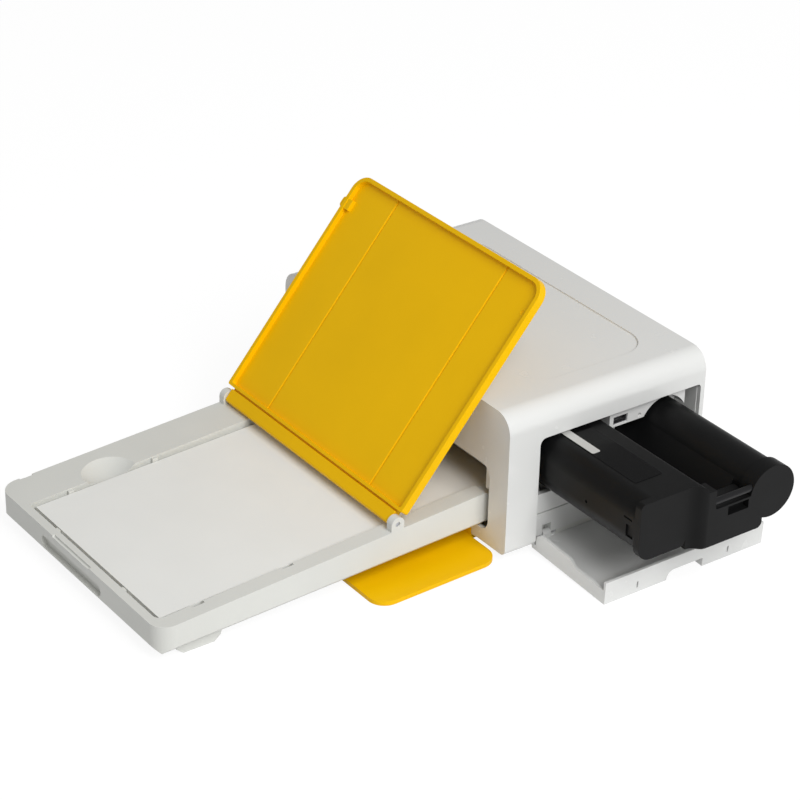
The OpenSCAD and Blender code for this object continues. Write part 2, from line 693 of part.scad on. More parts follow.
// ---- Metal side plates ----
head_rod_r = 2;
pinch_pin_r = 1.2;
pinch_z = feed_z + feed_r + 0.6 + pinch_r;
post_r = 2;
hub_r = 3.4;
hub_bore_r = hub_r + run_gap;
plate_top = inner_top - 3;
standoff_at = [[supply_y0 + 0.4, plate_top - 14], [takeup_y + 11, plate_top - 10],
    [takeup_y + 4, base_top + 3.2], [tray_wall_y1 + 3.4, base_top + 4]];
module drive_side_plate() color(steel) yz(drive_plate_x0, drive_plate_x1) difference() {
    rect(base_y0 + 0.2, base_top, base_y1 - 0.1, plate_top, [0, 0, 4, 4]);
    rect(base_y0 - 1, base_top - 1, tray_wall_y1 + 0.7, tray_inner_top + 2);
    for (at = [platen_at, feed_at, pick_at]) translate(at) circle(shaft_r + run_gap);
    for (at = [middle_at, transfer_at]) translate(at) circle(1.2);
    translate([head_y, head_z]) circle(head_rod_r + 0.01);
    translate([feed_y, pinch_z]) circle(pinch_pin_r + run_gap);
    for (at = [takeup_at, [supply_cy, supply_cz]]) translate(at) circle(hub_bore_r);
    for (at = standoff_at) translate(at) circle(1.2);
    // lightening windows
    rect(supply_y1 + 1, supply_z1 + 3, takeup_y - 2, plate_top - 3, [2, 2, 2, 2]);
}
module gearbox_plate() color(steel) yz(gearbox_x0, gearbox_x1) difference() {
    rect(tray_wall_y1 + 0.7, base_top, base_y1 - 0.1, plate_top - 6, [0, 0, 4, 4]);
    translate(pinion_at) circle(motor_boss_r + 0.1);
    for (side = [-1, 1]) translate(motor_screw_at(side)) circle(1.3);
    for (at = standoff_at) translate(at) circle(1.2);
    for (at = [platen_at, feed_at]) translate(at) circle(shaft_r + run_gap);
    rect(supply_y1 + 2, supply_z1, takeup_y - 6, plate_top - 9, [2, 2, 2, 2]);
}
module gearbox_standoffs() color(steel)
    for (at = standoff_at) difference() {
        rod_x(gearbox_x1, drive_plate_x0, 2.2, at[0], at[1]);
        rod_x(gearbox_x1 - 1, drive_plate_x0 + 1, 1.1, at[0], at[1]);
    }
module gear_posts() color(steel)
    for (at = [middle_at, transfer_at]) {
        rod_x(gearbox_x1, drive_plate_x0, post_r, at[0], at[1]);
        rod_x(drive_plate_x0 - eps, drive_plate_x1, 1.19, at[0], at[1]);
    }

// ---- Motor and gears ----
motor_r = 12;
motor_len = 13.5;
motor_boss_r = 3.4;
motor_shaft_r = 1;
function motor_screw_at(side) = [pinion_at[0] + side * 8 * cos(20), pinion_at[1] + side * 8 * sin(20)];
module drive_motor() color(steel) difference() {
    union() {
        rod_x(gearbox_x0 - motor_len, gearbox_x0, motor_r, pinion_at[0], pinion_at[1]);
        rod_x(gearbox_x0 - eps, gearbox_x1 - 0.2, motor_boss_r, pinion_at[0], pinion_at[1]);
    }
    rod_x(gearbox_x0 - 4, gearbox_x1 + 1, motor_shaft_r + run_gap, pinion_at[0], pinion_at[1]);
    for (side = [-1, 1])
        rod_x(gearbox_x0 - 3, gearbox_x0 + 1, 1.21, motor_screw_at(side)[0], motor_screw_at(side)[1]);
}
module motor_screws() color(steel)
    for (side = [-1, 1]) {
        rod_x(gearbox_x0 - 2.8, gearbox_x1 + 0.3, 1.2, motor_screw_at(side)[0],
            motor_screw_at(side)[1]);
        rod_x(gearbox_x1, gearbox_x1 + 0.6, 2.2, motor_screw_at(side)[0], motor_screw_at(side)[1]);
    }
module motor_pinion() color(nylon) {
    yz(gear_x0, gear_x1) translate(pinion_at) gear_shape(pinion_teeth, 0, pinion_phase);
    rod_x(gearbox_x0 - 3.8, gear_x0 + eps, motor_shaft_r, pinion_at[0], pinion_at[1]);
}
module middle_gear() color(nylon) gear(middle_at, middle_teeth, post_r + run_gap, middle_phase);
module platen_gear() color(nylon) gear(platen_at, platen_teeth, shaft_r + 0.01, platen_phase);
module feed_gear() color(nylon) gear(feed_at, feed_teeth, shaft_r + 0.01, feed_phase);
module transfer_gear() color(nylon) gear(transfer_at, transfer_teeth, post_r + run_gap, transfer_phase);
module pick_gear() color(nylon) gear(pick_at, pick_teeth, shaft_r + 0.01, pick_phase);
module takeup_gear() color(nylon) gear(takeup_at, takeup_teeth, 2.01, takeup_phase);

// ---- Rollers ----
roller_x0 = paper_x0 - 2;
roller_x1 = paper_x1 + 2;
module platen_shaft() color(steel) rod_x(gearbox_x0, frame_x1, shaft_r, platen_y, platen_z);
module platen_roller() color(rubber) difference() {
    rod_x(roller_x0, roller_x1, platen_r, platen_y, platen_z);
    rod_x(roller_x0 - 1, roller_x1 + 1, shaft_r + 0.01, platen_y, platen_z);
}
module feed_shaft() color(steel) rod_x(gearbox_x0, frame_x1, shaft_r, feed_y, feed_z);
module feed_roller() color(rubber)
    for (x = [paper_x0 + 4, paper_x0 + 38, paper_x0 + 72]) difference() {
        rod_x(x, x + 24, feed_r, feed_y, feed_z);
        rod_x(x - 1, x + 25, shaft_r + 0.01, feed_y, feed_z);
    }
module pinch_roller() color(steel) {
    rod_x(drive_plate_x0, frame_x1, pinch_pin_r, feed_y, pinch_z);
    difference() {
        rod_x(roller_x0, roller_x1, pinch_r, feed_y, pinch_z);
        rod_x(roller_x0 - 1, roller_x1 + 1, pinch_pin_r - eps, feed_y, pinch_z);
    }
}
module pick_shaft() color(steel) rod_x(gear_x0, frame_x1, shaft_r, pick_y, pick_z);
module pick_roller() color(rubber)
    for (x = [tray_shift - 14, tray_shift + 14]) difference() {
        rod_x(x - 8, x + 8, pick_r, pick_y, pick_z);
        rod_x(x - 9, x + 9, shaft_r + 0.01, pick_y, pick_z);
    }
nose_r = 3.1;
nose_len = 5.5;
module takeup_drive_hub() color(nylon) {
    rod_x(gear_x0, drive_plate_x0 - 0.4, 2, takeup_y, takeup_z);
    rod_x(drive_plate_x0 - 0.4 - eps, drive_plate_x1 + 0.4, hub_r, takeup_y, takeup_z);
    hub_nose(takeup_y, takeup_z);
}
module supply_brake_hub() color(nylon) {
    rod_x(drive_plate_x0 - 0.6, drive_plate_x1 + 0.4, hub_r, supply_cy, supply_cz);
    rod_x(drive_plate_x0 - 1.1, drive_plate_x0 - 0.6 + eps, hub_r + 0.9, supply_cy, supply_cz);
    hub_nose(supply_cy, supply_cz);
}
// Flange and ribbed nose that drives a reel
module hub_nose(y, z) {
    rod_x(drive_plate_x1 + 0.4 - eps, drive_plate_x1 + 1.4, 5, y, z);
    yz(drive_plate_x1 + 1.4 - eps, home_x0 + nose_len) translate([y, z]) {
        circle(nose_r - 0.8);
        for (i = [0:2]) rotate(i * 120) translate([0, -0.6]) square([nose_r, 1.2]);
    }
}

// ---- Print head, drawn in the printing position and turned up to rest ----
head_x0 = paper_x0 - 1;
head_x1 = paper_x1 + 1;
head_low = web_z + web_t + seat;
arm_z = takeup_z + takeup_r + 3;
arm_t = 2;
module head_place() {
    translate([0, head_y, head_z]) rotate([-head_swing, 0, 0])
        translate([0, -head_y, -head_z]) children();
}
module head_arm() color(steel) head_place() {
    block([drive_plate_x1 + 2, platen_y - 6, arm_z], [frame_x0 - 2, head_y - 4, arm_z + arm_t]);
    for (x = [drive_plate_x1 + 2, frame_x0 - 4]) yz(x, x + 2) difference() {
        union() {
            translate([head_y, head_z]) circle(4);
            polygon([[head_y - 16, arm_z + eps], [head_y - 4, arm_z + eps], [head_y, head_z - 3.9],
                [head_y - 1, head_z + 3.8], [head_y - 16, arm_z + arm_t]]);
        }
        translate([head_y, head_z]) circle(head_rod_r + run_gap);
    }
}
module print_head() color([0.75, 0.76, 0.78]) head_place() {
    difference() {
        block([head_x0, platen_y - 5, head_low + 3], [head_x1, platen_y + 5, arm_z]);
        // cooling slots
        for (i = [0:3])
            block([head_x0 + 4, platen_y - 3.6 + i * 2.2, head_low + 12],
                [head_x1 - 4, platen_y - 2.6 + i * 2.2, arm_z - 1.5]);
    }
    // ceramic bar
    yz(head_x0 + 1, head_x1 - 1)
        polygon([[platen_y - 3.5, head_low + 3 + eps], [platen_y - 1.5, head_low],
            [platen_y + 1.5, head_low], [platen_y + 3.5, head_low + 3 + eps]]);
}
module head_pivot_rod() color(steel) rod_x(drive_plate_x0, frame_x1, head_rod_r, head_y, head_z);

// ---- Electronics ----
module circuit_board() color([0.1, 0.35, 0.2]) {
    x0 = left_x + shell_wall + board_gap;
    difference() {
        block([x0, board_y0, board_z0], [x0 + 1.6, board_y1, board_z1]);
        for (y = [board_y0 + 4, board_y1 - 4], z = [board_z0 + 4, board_z1 - 4])
            rod_x(x0 - 1, x0 + 3, 1.1, y, z);
    }
    block([x0 + 1.6 - eps, board_y0 + 10, board_z0 + 12], [x0 + 3.2, board_y0 + 24, board_z0 + 26]);
    block([x0 + 1.6 - eps, board_y0 + 28, board_z0 + 10], [x0 + 2.8, board_y0 + 38, board_z0 + 16]);
    for (i = [0:2]) rod_x(x0 + 1.6 - eps, x0 + 7, 2.5, board_y0 + 12 + i * 9, board_z1 - 9);
}
module power_jack() color(rubber) difference() {
    union() {
        block([jack_x - 5, rear_y - 15, jack_z - 5.5],
            [jack_x + 5, rear_y - panel_in - shell_wall, jack_z + 5.5]);
        translate([jack_x, rear_y - panel_in, jack_z]) rotate([90, 0, 0])
            cylinder(r = jack_r, h = shell_wall + eps);
    }
    translate([jack_x, rear_y + 1, jack_z]) rotate([90, 0, 0]) difference() {
        cylinder(r = jack_r - 1.3, h = 11);
        cylinder(r = 1, h = 12);
    }
}

// ---- Tray ----
tray_chamfer = 2.3;
tray_mid_y = front_y + 2.5;
floor_t = 2;
function floor_z(y) = paper_top(y) - paper_stack_h;
module tray_side() {
    yz(tray_x0, tray_x1) polygon([[tray_y0, tray_front_low + tray_chamfer],
        [tray_y0 + tray_chamfer, tray_low(tray_y0 + tray_chamfer)],
        [tray_wall_y1, tray_low(tray_wall_y1)], [tray_wall_y1, tray_inner_top],
        [tray_mid_y, tray_inner_top], [tray_mid_y - 1.5, tray_top(tray_mid_y - 1.5)],
        [tray_y0, tray_front_top]]);
}
module tray_chamfers() {
    translate([0, tray_y0 - 1, tray_front_low - tray_low_slope]) rotate([tray_low_pitch, 0, 0]) {
        translate([0, tray_reach + 20, 0]) rotate([90, 0, 0]) linear_extrude(tray_reach + 22) {
            polygon([[tray_x1 - tray_chamfer - 1, -1], [tray_x1 + 1, -1],
                [tray_x1 + 1, tray_chamfer + 1]]);
            polygon([[tray_x0 + tray_chamfer + 1, -1], [tray_x0 - 1, tray_chamfer + 1],
                [tray_x0 - 1, -1]]);
        }
    }
}
module tray_well() intersection() {
    yz(well_x0, well_x1) polygon([[well_y0, floor_z(well_y0)],
        [tray_wall_y1 + 1, floor_z(tray_wall_y1 + 1)], [tray_wall_y1 + 1, 60], [well_y0, 60]]);
    xy(0, 61) rect(well_x0, well_y0, well_x1, tray_wall_y1 + 2, [0, 3.5, 0, 0]);
}
pocket_x = [tray_x0 + 19, tray_x0 + 50.5, tray_x0 + 82];
pocket_w = 30;
pocket_y = [tray_y0 + 6, tray_y0 + 47, tray_y0 + 88, tray_y0 + 129];
pocket_len = 38;
module tray_pocket(x0, x1, y0, y1) {
    yz(x0, x1) polygon([[y0, 0], [y1, 0], [y1, floor_z(y1) - floor_t], [y0, floor_z(y0) - floor_t]]);
}
scoop_y = tray_y0 + 41.8;
scoop_r = 20;
stop_w = 2.6;
tray_foot_y0 = tray_y0 + 12.6;
tray_foot_y1 = tray_y0 + 29;
tray_foot_w = 12.3;
tray_foot_in = 4.7;
module tray_foot(x0) yz(x0, x0 + tray_foot_w)
    polygon([[tray_foot_y0 + 1, 0], [tray_foot_y1 - 1, 0], [tray_foot_y1 + 2, 2.5],
        [tray_foot_y1 + 3, tray_low(tray_foot_y1 + 3)], [tray_foot_y0 - 3, tray_low(tray_foot_y0 - 3)],
        [tray_foot_y0 - 2, 2.5]]);
module tray_feet() color(tray_white)
    for (x = [tray_x0 + tray_foot_in, tray_x1 - tray_foot_in - tray_foot_w]) tray_foot(x);
module lid_ear(x0) yz(x0, x0 + lid_ear_w) difference() {
    union() {
        translate([lid_hinge_y, lid_hinge_z]) circle(lid_ear_r);
        polygon([[lid_hinge_y - lid_ear_r, tray_top(lid_hinge_y - lid_ear_r) - 0.5],
            [lid_hinge_y + lid_ear_r, tray_top(lid_hinge_y + lid_ear_r) - 0.5],
            [lid_hinge_y + lid_ear_r, lid_hinge_z], [lid_hinge_y - lid_ear_r, lid_hinge_z]]);
    }
    translate([lid_hinge_y, lid_hinge_z]) circle(lid_pin_r + 0.01);
}
module tray_base() color(tray_white) {
    difference() {
        intersection() {
            tray_side();
            xy(0, 61)
                rect(tray_x0, tray_y0, tray_x1, tray_wall_y1, [tray_corner_r, tray_corner_r, 0, 0]);
        }
        tray_chamfers();
        tray_well();
        for (x = pocket_x, y = pocket_y) tray_pocket(x, x + pocket_w, y, y + pocket_len);
        // finger scoop in the wide ledge
        translate([well_x0 - 1, scoop_y, tray_top(scoop_y) + scoop_r - 4]) sphere(scoop_r);
        // grip in the front wall and the thumb step over it
        xz(tray_y0 - 1, tray_y0 + 2.2)
            rect(tray_shift - 29, tray_front_low + 3, tray_shift + 20, tray_front_low + 8.4,
                [2.6, 2.6, 2.6, 2.6]);
        block([tray_shift - 19, tray_y0 - 1, tray_front_top - 0.8],
            [tray_shift + 11, tray_y0 + 1.2, tray_front_top + 1]);
        // sight notches in the right wall
        for (y = [tray_y0 + 22, tray_y0 + 64])
            block([well_x1 - 1, y - 2.6, tray_top(y) - 2.2], [well_x1 + 1.5, y + 2.6, tray_top(y) + 2]);
        // mark on the left edge
        block([tray_x0 - 1, tray_y0 + 10, tray_top(tray_y0 + 10) - 0.5],
            [tray_x0 + 1, tray_y0 + 16, tray_top(tray_y0 + 16) + 1]);
    }
    // tongue that reaches under the pick-up roller
    difference() {
        yz(well_x0, well_x1) polygon([[tray_wall_y1 - eps, floor_z(tray_wall_y1) - floor_t - 0.4],
            [tray_tongue_y1, floor_z(tray_tongue_y1) - floor_t - 0.4],
            [tray_tongue_y1, floor_z(tray_tongue_y1)], [tray_wall_y1 - eps, floor_z(tray_wall_y1)]]);
        for (x = [tray_shift - 14, tray_shift + 14])
            block([x - 9, tray_wall_y1 + 3, 0], [x + 9, tray_tongue_y1 - 6, 60]);
    }
    // ribs that stop the paper
    for (x = [tray_shift - 23, tray_shift + 30.6])
        block([x - stop_w / 2, well_y0 - eps, floor_z(well_y0) - 0.3],
            [x + stop_w / 2, well_y0 + 1.6, paper_front_top]);
    for (y = [tray_y0 + 23, tray_y0 + 64])
        block([well_x0 - eps, y - stop_w / 2, floor_z(y) - 0.3],
            [well_x0 + 1.6, y + stop_w / 2, tray_top(y) - 0.4]);
    lid_ear(tray_x0);
    lid_ear(tray_x1 - lid_ear_w);
}
module paper_stack() color([0.96, 0.96, 0.97]) {
    y1 = paper_y0 + paper_len;
    yz(paper_x0, paper_x1) polygon([[paper_y0, floor_z(paper_y0)], [y1, floor_z(y1)],
        [y1, paper_top(y1)], [paper_y0, paper_top(paper_y0)]]);
}

// ---- Tray lid, drawn flat: Y along the lid from its hinge, Z out of its inner face ----
lid_near = 4.8;
lid_corner_r = 8;
lid_edge = 2;
lid_barrel_r = 2.4;
lid_strip_z = 1.9;
lid_groove_x = [tray_x0 + 28.5, tray_x1 - 26];
lid_groove_w = 1;
lid_groove_h = 0.6;
lid_low_edge = 1.4;
lid_latch_s = lid_len - 17.5;
lid_latch_len = 5;
lid_latch_out = 1.6;
module tray_lid() color(yellow)
    translate([0, lid_hinge_y, lid_hinge_z]) rotate([lid_lean, 0, 0]) difference() {
        union() {
            xy(-lid_t, 0) rect(tray_x0, lid_near, tray_x1, lid_len, [1, 1, lid_corner_r, lid_corner_r]);
            xy(-eps, lid_rim) difference() {
                rect(tray_x0, lid_near, tray_x1, lid_len, [1, 1, lid_corner_r, lid_corner_r]);
                rect(tray_x0 + lid_edge, lid_near + lid_low_edge, tray_x1 - lid_edge, lid_len - lid_edge,
                    [1, 1, lid_corner_r - lid_edge, lid_corner_r - lid_edge]);
            }
            // hinge strip, flat on its inner face and round under the pin
            yz(lid_x0, lid_x1) {
                intersection() {
                    circle(lid_barrel_r);
                    rect(-lid_barrel_r - 1, -lid_barrel_r - 1, lid_barrel_r + 1, lid_strip_z);
                }
                rect(0, -lid_t, lid_near + 0.5, lid_strip_z);
            }
            // latch nub on the left edge
            xy(-lid_t / 2, lid_rim - 0.4)
                rect(tray_x0 - lid_latch_out, lid_latch_s, tray_x0 + 5, lid_latch_s + lid_latch_len,
                    [1.5, 0, 0, 1.5]);
        }
        rod_x(lid_x0 - 1, lid_x1 + 1, lid_pin_r + run_gap, 0, 0);
        // grooves beside the middle panel
        for (x = lid_groove_x)
            block([x - lid_groove_w / 2, lid_near + lid_low_edge, -lid_groove_h],
                [x + lid_groove_w / 2, lid_len - lid_edge, 1]);
        // groove above the hinge strip
        block([lid_x0 - 1, lid_near - 0.9, 0.7], [lid_x1 + 1, lid_near, lid_rim]);
        // gate mark near the free corner
        translate([tray_x1 - 5.2, lid_len - 15, -0.3]) cylinder(r = 1, h = 1);
    }
module lid_hinge_pins() color(steel) {
    rod_x(tray_x0 + 0.6, lid_x0 + 10, lid_pin_r, lid_hinge_y, lid_hinge_z);
    rod_x(lid_x1 - 10, tray_x1 - 0.6, lid_pin_r, lid_hinge_y, lid_hinge_z);
}

// ---- Ribbon cartridge ----
bar_r = 1.5;
bar_x = cart_x1 + waist_out - 1.9;
bar_z = recess_z + 2.6;
pivot_r = 2;
housing_low_r = 11;
housing_high_r = 8.5;
cap_low_r = 6.5;
cap_high_r = 2.2;
shoulder_z0 = supply_z0 + 9;
shoulder_r = 2.5;
skirt_from = 145;
skirt_len = 13;
skirt_t = 1.0;
skirt_step = 0.35;
skirt_x1 = cart_x1 - waist_in - 1;
// Flat-topped shoulder that carries the housing towards the take-up side
module shoulder_outline(inset) {
    rect(supply_y1 - 6, shoulder_z0 + inset, shoulder_y1 - inset, supply_z1 - inset,
        [0, shoulder_r, shoulder_r, 0]);
}
module supply_outline(inset, low_r, high_r) {
    rect(supply_y0 + inset, supply_z0 + inset, supply_y1 - inset, supply_z1 - inset,
        [low_r - inset, 3 - inset, 0, high_r - inset]);
    shoulder_outline(inset);
}
// Straight skirt that leaves the take-up housing just inside its outer face
module skirt_outline(grow) {
    translate([takeup_y, takeup_z]) rotate(skirt_from)
        translate([takeup_r - skirt_step - skirt_t - grow, 0])
            square([skirt_t + 2 * grow, skirt_len + grow]);
}
module end_outline() {
    supply_outline(0, cap_low_r, cap_high_r);
    difference() {
        rect(supply_y1 - 4, waist_z0, waist_y1, waist_z1, [2.5, 2.5, 0, 0]);
        rect(recess_y0, recess_z, recess_y1, waist_z1 + 1, [1, 0, 0, 0]);
        rect(supply_y1 - 5, waist_z0 - 1, supply_y1, supply_z0 + 4);
        rect(recess_y1, takeup_z, waist_y1 + 1, waist_z1 + 1);
    }
    translate([takeup_y, takeup_z]) circle(takeup_disk_r);
}
// The end block seen from above, its face stepping out to the waist in two equal arcs
blend_y = (supply_y1 + waist_y0) / 2;
blend_r = (pow(blend_y - supply_y1, 2) + pow(waist_out / 2, 2)) / waist_out;
module end_plan() {
    rect(cart_x1 - 20, supply_y0 - 1, cart_x1, rear_y + 20);
    rect(cart_x1 - eps, waist_y0, cart_x1 + waist_out, rear_y + 20);
    difference() {
        rect(cart_x1 - eps, supply_y1, cart_x1 + waist_out / 2, blend_y);
        translate([cart_x1 + blend_r, supply_y1]) circle(blend_r);
    }
    intersection() {
        rect(cart_x1 - eps, blend_y - eps, cart_x1 + waist_out, waist_y0 + eps);
        translate([cart_x1 + waist_out - blend_r, waist_y0]) circle(blend_r);
    }
}
module cartridge_end_block() color(black) difference() {
    intersection() {
        union() {
            yz(cart_x1 - end_cap_t, cart_x1 + waist_out) end_outline();
            // thicker waist between the housings
            yz(cart_x1 - waist_in, cart_x1 + waist_out) difference() {
                rect(shoulder_y1 + 0.2, waist_z0, takeup_y - takeup_r - 0.2, waist_z1 - 2);
                rect(recess_y0, recess_z, takeup_y, waist_z1 + 1);
            }
        }
        xy(0, 80) end_plan();
    }
    // seats of the grip bar
    translate([bar_x, recess_y0 - 2.5, bar_z]) rotate([-90, 0, 0])
        cylinder(r = bar_r + 0.01, h = recess_y1 - recess_y0 + 5);
    // window under the bar
    block([cart_x1 + waist_out - 3, recess_y0 + 7, recess_z - 5],
        [cart_x1 + waist_out + 1, recess_y1 - 2.2, recess_z - 0.9]);
    // bores for the reels' outer ends
    rod_x(cart_x1 - end_cap_t - 1, cart_x1 - 1, pivot_r + run_gap, supply_cy, supply_cz);
    rod_x(cart_x1 - end_cap_t - 1, cart_x1 - 1, pivot_r + run_gap, takeup_y, takeup_z);
}
slot_x0 = cart_x0 + 6;
slot_x1 = cart_x1 - 12;
latch_x0 = cart_x1 - 8.5;
latch_x1 = cart_x1 - 4.2;
module supply_housing() color(black) difference() {
    yz(cart_x0, cart_x1 - end_cap_t) supply_outline(0, housing_low_r, housing_high_r);
    yz(cart_x0 + cart_wall, cart_x1 - end_cap_t + 1)
        supply_outline(cart_wall, housing_low_r, housing_high_r);
    rod_x(cart_x0 - 1, cart_x0 + cart_wall + 1, reel_hub_r + run_gap, supply_cy, supply_cz);
    // ribbon slot
    block([slot_x0, supply_y1 - 4, web_z - 0.5], [slot_x1, supply_y1 + 1, web_z + web_t + 0.5]);
    // latch pocket near the outer end, the groove over it and the gate mark
    block([latch_x0, supply_y0 - 1, supply_z0 + 9], [latch_x1, supply_y0 + 0.8, supply_z0 + 14.5]);
    block([latch_x0 - 1.6, supply_y0 - 1, supply_z0 + 17],
        [latch_x1 - 1, supply_y0 + 0.5, supply_z0 + 17.8]);
    translate([cart_x1 - 33.5, supply_y0 - 1, supply_z0 + 12.2]) rotate([-90, 0, 0])
        cylinder(r = 0.7, h = 1.8);
}
module takeup_housing() color(black) {
    difference() {
        yz(cart_x0, cart_x1 - end_cap_t) translate([takeup_y, takeup_z]) circle(takeup_r);
        yz(cart_x0 + cart_wall, cart_x1 - end_cap_t + 1)
            translate([takeup_y, takeup_z]) circle(takeup_r - cart_wall);
        rod_x(cart_x0 - 1, cart_x0 + cart_wall + 1, reel_hub_r + run_gap, takeup_y, takeup_z);
        // ribbon slot
        block([slot_x0, takeup_y - 7, supply_z0], [slot_x1, takeup_y - 3.6, takeup_z - 6]);
    }
    yz(cart_x0 + 1, skirt_x1) skirt_outline(0);
}
module cartridge_grip_bar() color(black)
    translate([bar_x, recess_y0 - 2.4, bar_z]) rotate([-90, 0, 0])
        cylinder(r = bar_r, h = recess_y1 - recess_y0 + 4.8);
socket_r = 3.6;
socket_len = 8;
roll_gap = 1.5;
module reel(y, z) difference() {
    union() {
        rod_x(cart_x0, cart_x1 - end_cap_t - 0.4, reel_hub_r, y, z);
        rod_x(cart_x1 - end_cap_t - 0.4 - eps, cart_x1 - 1.4, pivot_r, y, z);
        // flange inside the end wall
        rod_x(cart_x0 + cart_wall + 0.5, cart_x0 + cart_wall + 1.5, reel_hub_r + 2.4, y, z);
    }
    rod_x(cart_x0 - 1, cart_x0 + socket_len, socket_r, y, z);
}
roll_x0 = cart_x0 + 8;
roll_x1 = cart_x1 - 14;
supply_roll_r = 9.4;
takeup_roll_r = 6;
module roll(r, y, z) difference() {
    rod_x(roll_x0, roll_x1, r, y, z);
    rod_x(roll_x0 - 1, roll_x1 + 1, reel_hub_r + 0.01, y, z);
}
module supply_reel() color(nylon) reel(supply_cy, supply_cz);
module takeup_reel() color(nylon) reel(takeup_y, takeup_z);
module supply_ribbon_roll() color([0.1, 0.1, 0.12]) roll(supply_roll_r, supply_cy, supply_cz);
module takeup_ribbon_roll() color([0.1, 0.1, 0.12]) roll(takeup_roll_r, takeup_y, takeup_z);
module ribbon_web() color([0.1, 0.1, 0.12]) yz(roll_x0, roll_x1)
    polygon([[supply_y1 - 2.4, web_z], [takeup_y - 7, web_z], [takeup_y - 4.6, takeup_z - 7],
        [takeup_y - 4.9, takeup_z - 7], [takeup_y - 7.2, web_z + web_t],
        [supply_y1 - 2.4, web_z + web_t]]);
label_t = 0.15;
module cartridge_label() color([0.08, 0.08, 0.09])
    block([cart_x0 + 48, supply_y0 + housing_high_r + 0.6, supply_z1],
        [cart_x1 - 15, supply_y1 - 1.4, supply_z1 + label_t]);

outer_shell();
rear_panel();
base_plate();
rubber_feet();
base_screws();
door_sill();
inner_side_panel();
bay_frame();
service_port();
power_button();
button_spring();
front_flap();
flap_hinge_pins();
cartridge_door();
door_hinge_pins();
drive_side_plate();
gearbox_plate();
gearbox_standoffs();
drive_motor();
motor_screws();
motor_pinion();
middle_gear();
platen_gear();
feed_gear();
transfer_gear();
pick_gear();
takeup_gear();
gear_posts();
platen_shaft();
platen_roller();
feed_shaft();
feed_roller();
pinch_roller();
pick_shaft();
pick_roller();
takeup_drive_hub();
supply_brake_hub();
head_arm();
print_head();
head_pivot_rod();
circuit_board();
switch_board();
power_jack();
tray_base();
tray_feet();
paper_stack();
tray_lid();
lid_hinge_pins();
cartridge_end_block();
supply_housing();
takeup_housing();
cartridge_grip_bar();
supply_reel();
supply_ribbon_roll();
takeup_reel();
takeup_ribbon_roll();
ribbon_web();
cartridge_label();
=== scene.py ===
"""Looks of the compact photo printer: finishes, softened edges, small trim, studio and camera.

Each sub-assembly of the printer is a class. It holds its own sizes and builds and dresses its
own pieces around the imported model, which stays as it is. Lengths in this file are millimetres
until they are handed to Blender, which works in metres.
"""

import json
import logging
import math
from collections.abc import Callable, Sequence
from dataclasses import dataclass, field
from enum import Enum

import bpy
from mathutils import Matrix, Vector

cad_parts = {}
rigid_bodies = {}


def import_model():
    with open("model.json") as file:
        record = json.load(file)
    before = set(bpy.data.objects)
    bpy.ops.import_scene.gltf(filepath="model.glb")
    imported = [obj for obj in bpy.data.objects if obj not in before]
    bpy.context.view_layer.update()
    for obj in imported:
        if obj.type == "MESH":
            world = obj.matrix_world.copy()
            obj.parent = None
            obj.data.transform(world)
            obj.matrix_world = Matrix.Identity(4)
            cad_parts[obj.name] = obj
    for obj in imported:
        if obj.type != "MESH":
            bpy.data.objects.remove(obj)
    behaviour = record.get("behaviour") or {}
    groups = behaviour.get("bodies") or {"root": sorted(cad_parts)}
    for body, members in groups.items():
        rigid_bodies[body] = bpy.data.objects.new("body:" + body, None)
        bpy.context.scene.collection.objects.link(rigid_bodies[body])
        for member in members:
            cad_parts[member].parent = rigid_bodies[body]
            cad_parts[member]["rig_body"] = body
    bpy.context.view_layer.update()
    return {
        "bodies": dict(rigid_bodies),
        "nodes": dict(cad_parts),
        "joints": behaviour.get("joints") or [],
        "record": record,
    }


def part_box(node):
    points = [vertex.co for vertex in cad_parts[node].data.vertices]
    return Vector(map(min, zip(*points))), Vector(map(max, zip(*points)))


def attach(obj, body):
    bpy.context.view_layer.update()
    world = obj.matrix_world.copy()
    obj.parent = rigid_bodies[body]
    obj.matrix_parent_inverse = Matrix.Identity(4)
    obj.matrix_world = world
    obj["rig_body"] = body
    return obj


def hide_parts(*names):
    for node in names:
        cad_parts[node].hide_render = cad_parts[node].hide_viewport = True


LOG = logging.getLogger("printer")
MM = 0.001

# Joining a node's triangles into faces, and shading them.
MERGE_DISTANCE = 0.002 * MM
FLAT_ANGLE = math.radians(0.6)
SMOOTH_ANGLE = math.radians(32)

# Rounding: a round takes at most ROOM_SHARE of the room beside its edge. An outline that leaves
# an edge's end at less than the angle in RUN_ON carries the edge on and takes no room.
SHARP_ANGLE = math.radians(38)
RUN_ON = math.sin(math.radians(35))
ROOM_SHARE = 0.33
UNBOUNDED = 1000.0
SAME_PLACE = 0.01 * MM

# Finding what a round spoils: a filled triangle past TURNED_AREA (twice its area in square
# metres) that faces away, lines that cross by more than CROSSING, and a vertex that stands
# farther than SPIKE_LENGTH out of its node's box.
TURNED_AREA = 4e-7
TURNED_DOT = 0.5
CROSSING = 1e-12
SPIKE_LENGTH = 0.02 * MM

# Trying again: rounds within SPOT_REACH of a flaw shrink to NARROWER, all others to LESS.
ATTEMPTS = 4
SPOT_REACH = 1.2 * MM
NARROWER = 0.3
LESS = 0.75

# Telling edges apart, by distance in millimetres and by a direction's share along an axis.
IN_FACE = 0.02
AT_SEAM = 0.05
ON_LINE = 0.1
ON_ROUND = 0.3
LEVEL = 0.1
UPRIGHT = 0.9

# A noise factor stays mostly between these, so they are spread over the range that is wanted.
FACTOR_LOW, FACTOR_HIGH = 0.3, 0.7
MOST_REFLECTED = 0.97

Triple = tuple[float, float, float]
EdgeTest = Callable[[Vector, Vector], bool]


